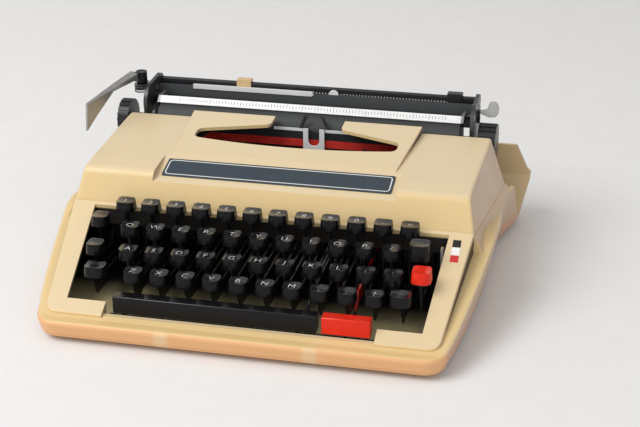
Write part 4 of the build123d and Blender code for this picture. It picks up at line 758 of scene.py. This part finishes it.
def letters(name, caps, body, letter_of):
    """One mesh with a letter on each cap, laid in its hollow."""
    points, faces = [], []
    for cap in caps:
        middle = (cap.max(0) + cap.min(0)) / 2
        flat, sides = glyph(letter_of(middle[0]))
        away = flat[:, 1]
        height = cap[:, 2].max() - HOLLOW_RISE + HOLLOW_RADIUS - np.sqrt(HOLLOW_RADIUS ** 2 - away ** 2)
        start = sum(len(p) for p in points)
        points.append(np.stack([middle[0] + flat[:, 0], middle[1] + away, height + INK_LIFT], 1))
        faces += [[start + v for v in side] for side in sides]
    mesh = bpy.data.meshes.new(name)
    mesh.from_pydata(np.concatenate(points).tolist(), [], faces)
    mesh.materials.append(ink_white)
    placed(name, mesh, body)
    print(name, len(caps), "letters", len(mesh.polygons), "faces")


for row, (text, first) in ROW_LETTERS.items():
    def pick(x, text=text, first=first):
        """The letter of the cap that stands at x."""
        return text[int(round(x / KEY_PITCH - first))]
    letters("letters_" + row, loose_parts("key_caps_" + row), row, pick)
    if row == "home_row":
        letters("letter_sample_key", loose_parts("sample_key_cap"), "sample_key", pick)

# %% [markdown]
# The name plate stays bare, with one thin pale line round its edge. The line is a flat band: points of a rounded
# rectangle, and the same points drawn in by the band's width. Three small colour marks stand beside the ribbon
# selector on the sloping surround.

# %% Line round the name plate
PLATE_TILT = math.radians(14.0)
LINE_INSET, LINE_WIDTH, LINE_CORNER, LINE_LIFT = 0.0016, 0.00075, 0.0030, 0.00008
PLATE_THICKNESS = 0.0008
low, high = (np.array(v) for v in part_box("name_plate"))
plate_middle = (low + high) / 2
plate_up = np.array([0, math.cos(PLATE_TILT), math.sin(PLATE_TILT)])
plate_out = np.array([0, -math.sin(PLATE_TILT), math.cos(PLATE_TILT)])
half_x = (high[0] - low[0]) / 2
half_y = (high[1] - low[1] - PLATE_THICKNESS * math.sin(PLATE_TILT)) / 2 / math.cos(PLATE_TILT)


def rounded(inset, corner, steps=8):
    """Points round the plate at an inset from its edge: a quarter circle at each corner."""
    half_width, half_height = half_x - inset, half_y - inset
    found = []
    for quarter, (sx, sy) in enumerate(((1, 1), (-1, 1), (-1, -1), (1, -1))):
        angle = math.pi / 2 * quarter + np.linspace(0, math.pi / 2, steps)
        found.append(np.stack([sx * (half_width - corner) + corner * np.cos(angle),
                               sy * (half_height - corner) + corner * np.sin(angle)], 1))
    return np.concatenate(found)


def on_plate(flat, lift):
    """Points of the plate's own plane, lifted off its face."""
    aside = flat[:, :1] * np.array([1.0, 0, 0])
    return plate_middle + aside + flat[:, 1:] * plate_up + (PLATE_THICKNESS / 2 + lift) * plate_out


outer = on_plate(rounded(LINE_INSET, LINE_CORNER), LINE_LIFT)
inner = on_plate(rounded(LINE_INSET + LINE_WIDTH, LINE_CORNER - LINE_WIDTH), LINE_LIFT)
band = np.stack([outer, np.roll(outer, -1, 0), np.roll(inner, -1, 0), inner], 1)
marks("name_plate_line", band, ink_white, "cover")
print("plate line corners", len(outer))

# %% Colour marks beside the selector
MARK_X, MARK_WIDTH, MARK_LIFT = 0.1350, 0.0058, 0.00012
MARKS = (("mark_black", -0.0544, -0.0486, sticker_black), ("mark_white", -0.0608, -0.0546, ink_white),
         ("mark_red", -0.0664, -0.0610, sticker_red))
for name, front, back, finish in MARKS:
    place = [(MARK_X + a * MARK_WIDTH, b, MASK_FOOT_Z + MASK_SLOPE * (b - MASK_FOOT_Y) + MARK_LIFT)
             for a, b in ((0, front), (1, front), (1, back), (0, back))]
    marks(name, [place], finish, "base")
print("colour marks", len(MARKS))

# %% [markdown]
# The bail carries a scale with a fine mark at each letter, a longer one at each fifth and the longest at each tenth.
# The rear bar has a row of pale marks. The bail's marks lie on the strip's face, which leans, so both ends of each
# mark follow that lean.

# %% Scale of the bail
SCALE_STEP, FINE_HALF = 0.00254, 0.00016
BAIL_TILT = math.radians(40.0)
BAIL_LOW = np.array([0.0880, 0.0966])
BAIL_LEAN = np.array([math.cos(BAIL_TILT), math.sin(BAIL_TILT)])
BAIL_OUT = np.array([-BAIL_LEAN[1], BAIL_LEAN[0]]) * 0.00008
BAIL_FIRST, BAIL_COUNT = -0.108, 86
LOW_SHORT, LOW_LONG, HIGH_SHORT, HIGH_LONG = 0.0022, 0.0012, 0.0046, 0.0052


def bail_mark(number):
    """One mark across the bail strip, from one distance to another along its lean."""
    x = BAIL_FIRST + SCALE_STEP * number
    low_end = BAIL_LOW + BAIL_LEAN * (LOW_SHORT if number % 10 else LOW_LONG) + BAIL_OUT
    high_end = BAIL_LOW + BAIL_LEAN * (HIGH_SHORT if number % 5 else HIGH_LONG) + BAIL_OUT
    left, right = x - FINE_HALF, x + FINE_HALF
    return [(left, *low_end), (right, *low_end), (right, *high_end), (left, *high_end)]


bail_marks = [bail_mark(number) for number in range(BAIL_COUNT)]
marks("bail_scale", bail_marks, ink_dark, "bail")
print("bail marks", len(bail_marks))

# %% Marks of the rear bar
REAR_FACE_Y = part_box("rear_bar")[0][1] - 0.00006
REAR_FIRST, REAR_LAST, REAR_HALF, REAR_LOW, REAR_HIGH = -0.098, 0.112, 0.0004, 0.1016, 0.1028
rear_marks = [[(x - REAR_HALF, REAR_FACE_Y, REAR_LOW), (x + REAR_HALF, REAR_FACE_Y, REAR_LOW),
               (x + REAR_HALF, REAR_FACE_Y, REAR_HIGH), (x - REAR_HALF, REAR_FACE_Y, REAR_HIGH)]
              for x in np.arange(REAR_FIRST, REAR_LAST, SCALE_STEP)]
marks("rear_scale", rear_marks, ink_white, "carriage")
print("rear marks", len(rear_marks))

# %% [markdown]
# The return lever is bent sheet: a narrow flange runs along its top edge, slopes down with it and tapers towards the
# paddle.

# %% Flange of the return lever
FLANGE_START, FLANGE_END, FLANGE_THICK = 0.004, 0.0720, 0.0012
EDGE_DROP = 0.0060
WIDE, NARROWING = 0.0075, 0.0062
root = np.array([*LEVER_PIVOT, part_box("return_lever")[1][2]])
along = np.array([-0.0215, -0.0710, 0.0])
along /= np.linalg.norm(along)
outer_side = np.array([along[1], -along[0], 0.0])
stations = np.linspace(FLANGE_START, FLANGE_END, 12)
share = (stations - FLANGE_START) / (FLANGE_END - FLANGE_START)
edge = root + stations[:, None] * along - share[:, None] * np.array([0, 0, EDGE_DROP])
flange_width = WIDE - NARROWING * share ** 1.3
outline = np.concatenate([edge, (edge + flange_width[:, None] * outer_side)[::-1]])
slab("lever_flange", outline, (0, 0, -FLANGE_THICK), satin_lever, "line_lever")
print("flange end", [round(float(v), 4) for v in edge[-1]])

# %% [markdown]
# Under the lever's root a torsion spring winds round the pivot. Its wire follows a helix: x and y are the radius
# times the cosine and sine of an angle that grows steadily while z climbs with it.

# %% Torsion spring
SPRING_TURNS, SPRING_RADIUS, SPRING_WIRE = 4.5, 0.0058, 0.00055
SPRING_LOW, SPRING_RISE = 0.1015, 0.0085
turns = np.linspace(0, SPRING_TURNS * 2 * math.pi, 110)
helix = np.stack([LEVER_PIVOT[0] + SPRING_RADIUS * np.cos(turns), LEVER_PIVOT[1] + SPRING_RADIUS * np.sin(turns),
                  SPRING_LOW + SPRING_RISE * turns / turns[-1]], 1)
tube("lever_spring", helix, SPRING_WIRE, grey_steel, "carriage", sides=8)
print("spring turns", SPRING_TURNS)

# %% [markdown]
# Small parts of the carriage: a pale strip on the paper table's front edge, a white clip that stands on the table,
# and two black blocks on the bar behind it. The clip's top is half an ellipse on two straight legs.

# %% Strip, clip and blocks
TABLE_FRONT = 0.1137
STRIP_LEFT, STRIP_FOOT, STRIP_TOP = -0.1040, 0.1008, 0.1046
strip = [(STRIP_LEFT, TABLE_FRONT, STRIP_FOOT), (-0.0045, TABLE_FRONT, STRIP_FOOT), (-0.0025, TABLE_FRONT, 0.1022),
         (-0.0050, TABLE_FRONT, STRIP_TOP), (STRIP_LEFT, TABLE_FRONT, STRIP_TOP)]
slab("support_face", strip, (0, 0.0007, 0), white_plastic, "carriage")
TABLE_BACK, TABLE_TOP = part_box("paper_table")[1][1:]
CLIP_MIDDLE, CLIP_HALF, CLIP_ARCH, CLIP_LEG = 0.0137, 0.0039, 0.0034, 0.0004
arch = np.linspace(0, math.pi, 12)
arc = np.stack([CLIP_MIDDLE + CLIP_HALF * np.cos(arch), np.full(12, TABLE_BACK),
                TABLE_TOP + CLIP_LEG + CLIP_ARCH * np.sin(arch)], 1)
clip = np.concatenate([[(CLIP_MIDDLE + CLIP_HALF, TABLE_BACK, TABLE_TOP)], arc,
                       [(CLIP_MIDDLE - CLIP_HALF, TABLE_BACK, TABLE_TOP)]])
slab("white_clip", clip, (0, -0.0016, 0), white_plastic, "carriage")
BAR_FRONT, BLOCK_LOW, BLOCK_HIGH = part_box("rear_bar")[0][1], 0.0985, 0.1012
for name, left, right in (("clip_block_left", 0.0028, 0.0066), ("clip_block_right", 0.0150, 0.0196)):
    corners = ((left, BLOCK_LOW), (right, BLOCK_LOW), (right, BLOCK_HIGH), (left, BLOCK_HIGH))
    slab(name, [(x, BAR_FRONT, z) for x, z in corners], (0, -0.0030, 0), dark_steel, "carriage")
print("clip stands at", round(float(TABLE_TOP), 4))

# %% [markdown]
# Each end plate is held by two rivets. A rivet's head is a turned piece: radii that shrink as the distance from the
# plate grows.

# %% Rivet heads
RIVET_PROFILE = [(-0.0004, 0.0021), (0.0003, 0.0021), (0.0008, 0.0016), (0.0010, 0.0007)]
RIVETS = (("rivet_left_low", (-0.1332, 0.1010, 0.0880), -1), ("rivet_left_high", (-0.1332, 0.1090, 0.1010), -1),
          ("rivet_right_low", (0.1312, 0.1150, 0.0900), 1), ("rivet_right_high", (0.1312, 0.1150, 0.1040), 1))
for name, centre, way in RIVETS:
    turned(name, centre, (way, 0, 0), RIVET_PROFILE, bright_steel, "carriage")
print("rivets", len(RIVETS))

# %% [markdown]
# The release lever ends in a clear leaf on a dark stem. The leaf is an outline with a half ellipse at its right end.
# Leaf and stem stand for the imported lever, and ride on the same body.

# %% Clear leaf of the release lever
low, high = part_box("paper_release_lever")
LEAF_Y, LEAF_HALF = 0.104, 0.0009
LEAF_FACE = LEAF_Y - LEAF_HALF
bend = np.linspace(-math.pi / 2, math.pi / 2, 9)
leaf_right = np.stack([0.1440 + 0.0040 * np.cos(bend), np.full(9, LEAF_FACE), 0.1042 + 0.0064 * np.sin(bend)], 1)
leaf = np.concatenate([[(0.1334, LEAF_FACE, 0.1002), (0.1400, LEAF_FACE, 0.0975)], leaf_right,
                       [(0.1405, LEAF_FACE, 0.1098), (0.1385, LEAF_FACE, 0.1040), (0.1334, LEAF_FACE, 0.1025)]])
leaf_piece = slab("release_leaf", leaf, (0, 2 * LEAF_HALF, 0), clear_plastic, "release")
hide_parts("paper_release_lever")
STEM_IN, STEM_THICK, STEM_FRONT, STEM_BACK, STEM_TOP = low[0], 0.0020, 0.1020, 0.1060, 0.1026
stem = [(STEM_IN, STEM_FRONT, low[2]), (STEM_IN, STEM_BACK, low[2]), (STEM_IN, STEM_BACK, STEM_TOP),
        (STEM_IN, STEM_FRONT, STEM_TOP)]
slab("release_stem", stem, (STEM_THICK, 0, 0), dark_steel, "release")
print("release box", [round(float(v), 4) for v in (*low, *high)])
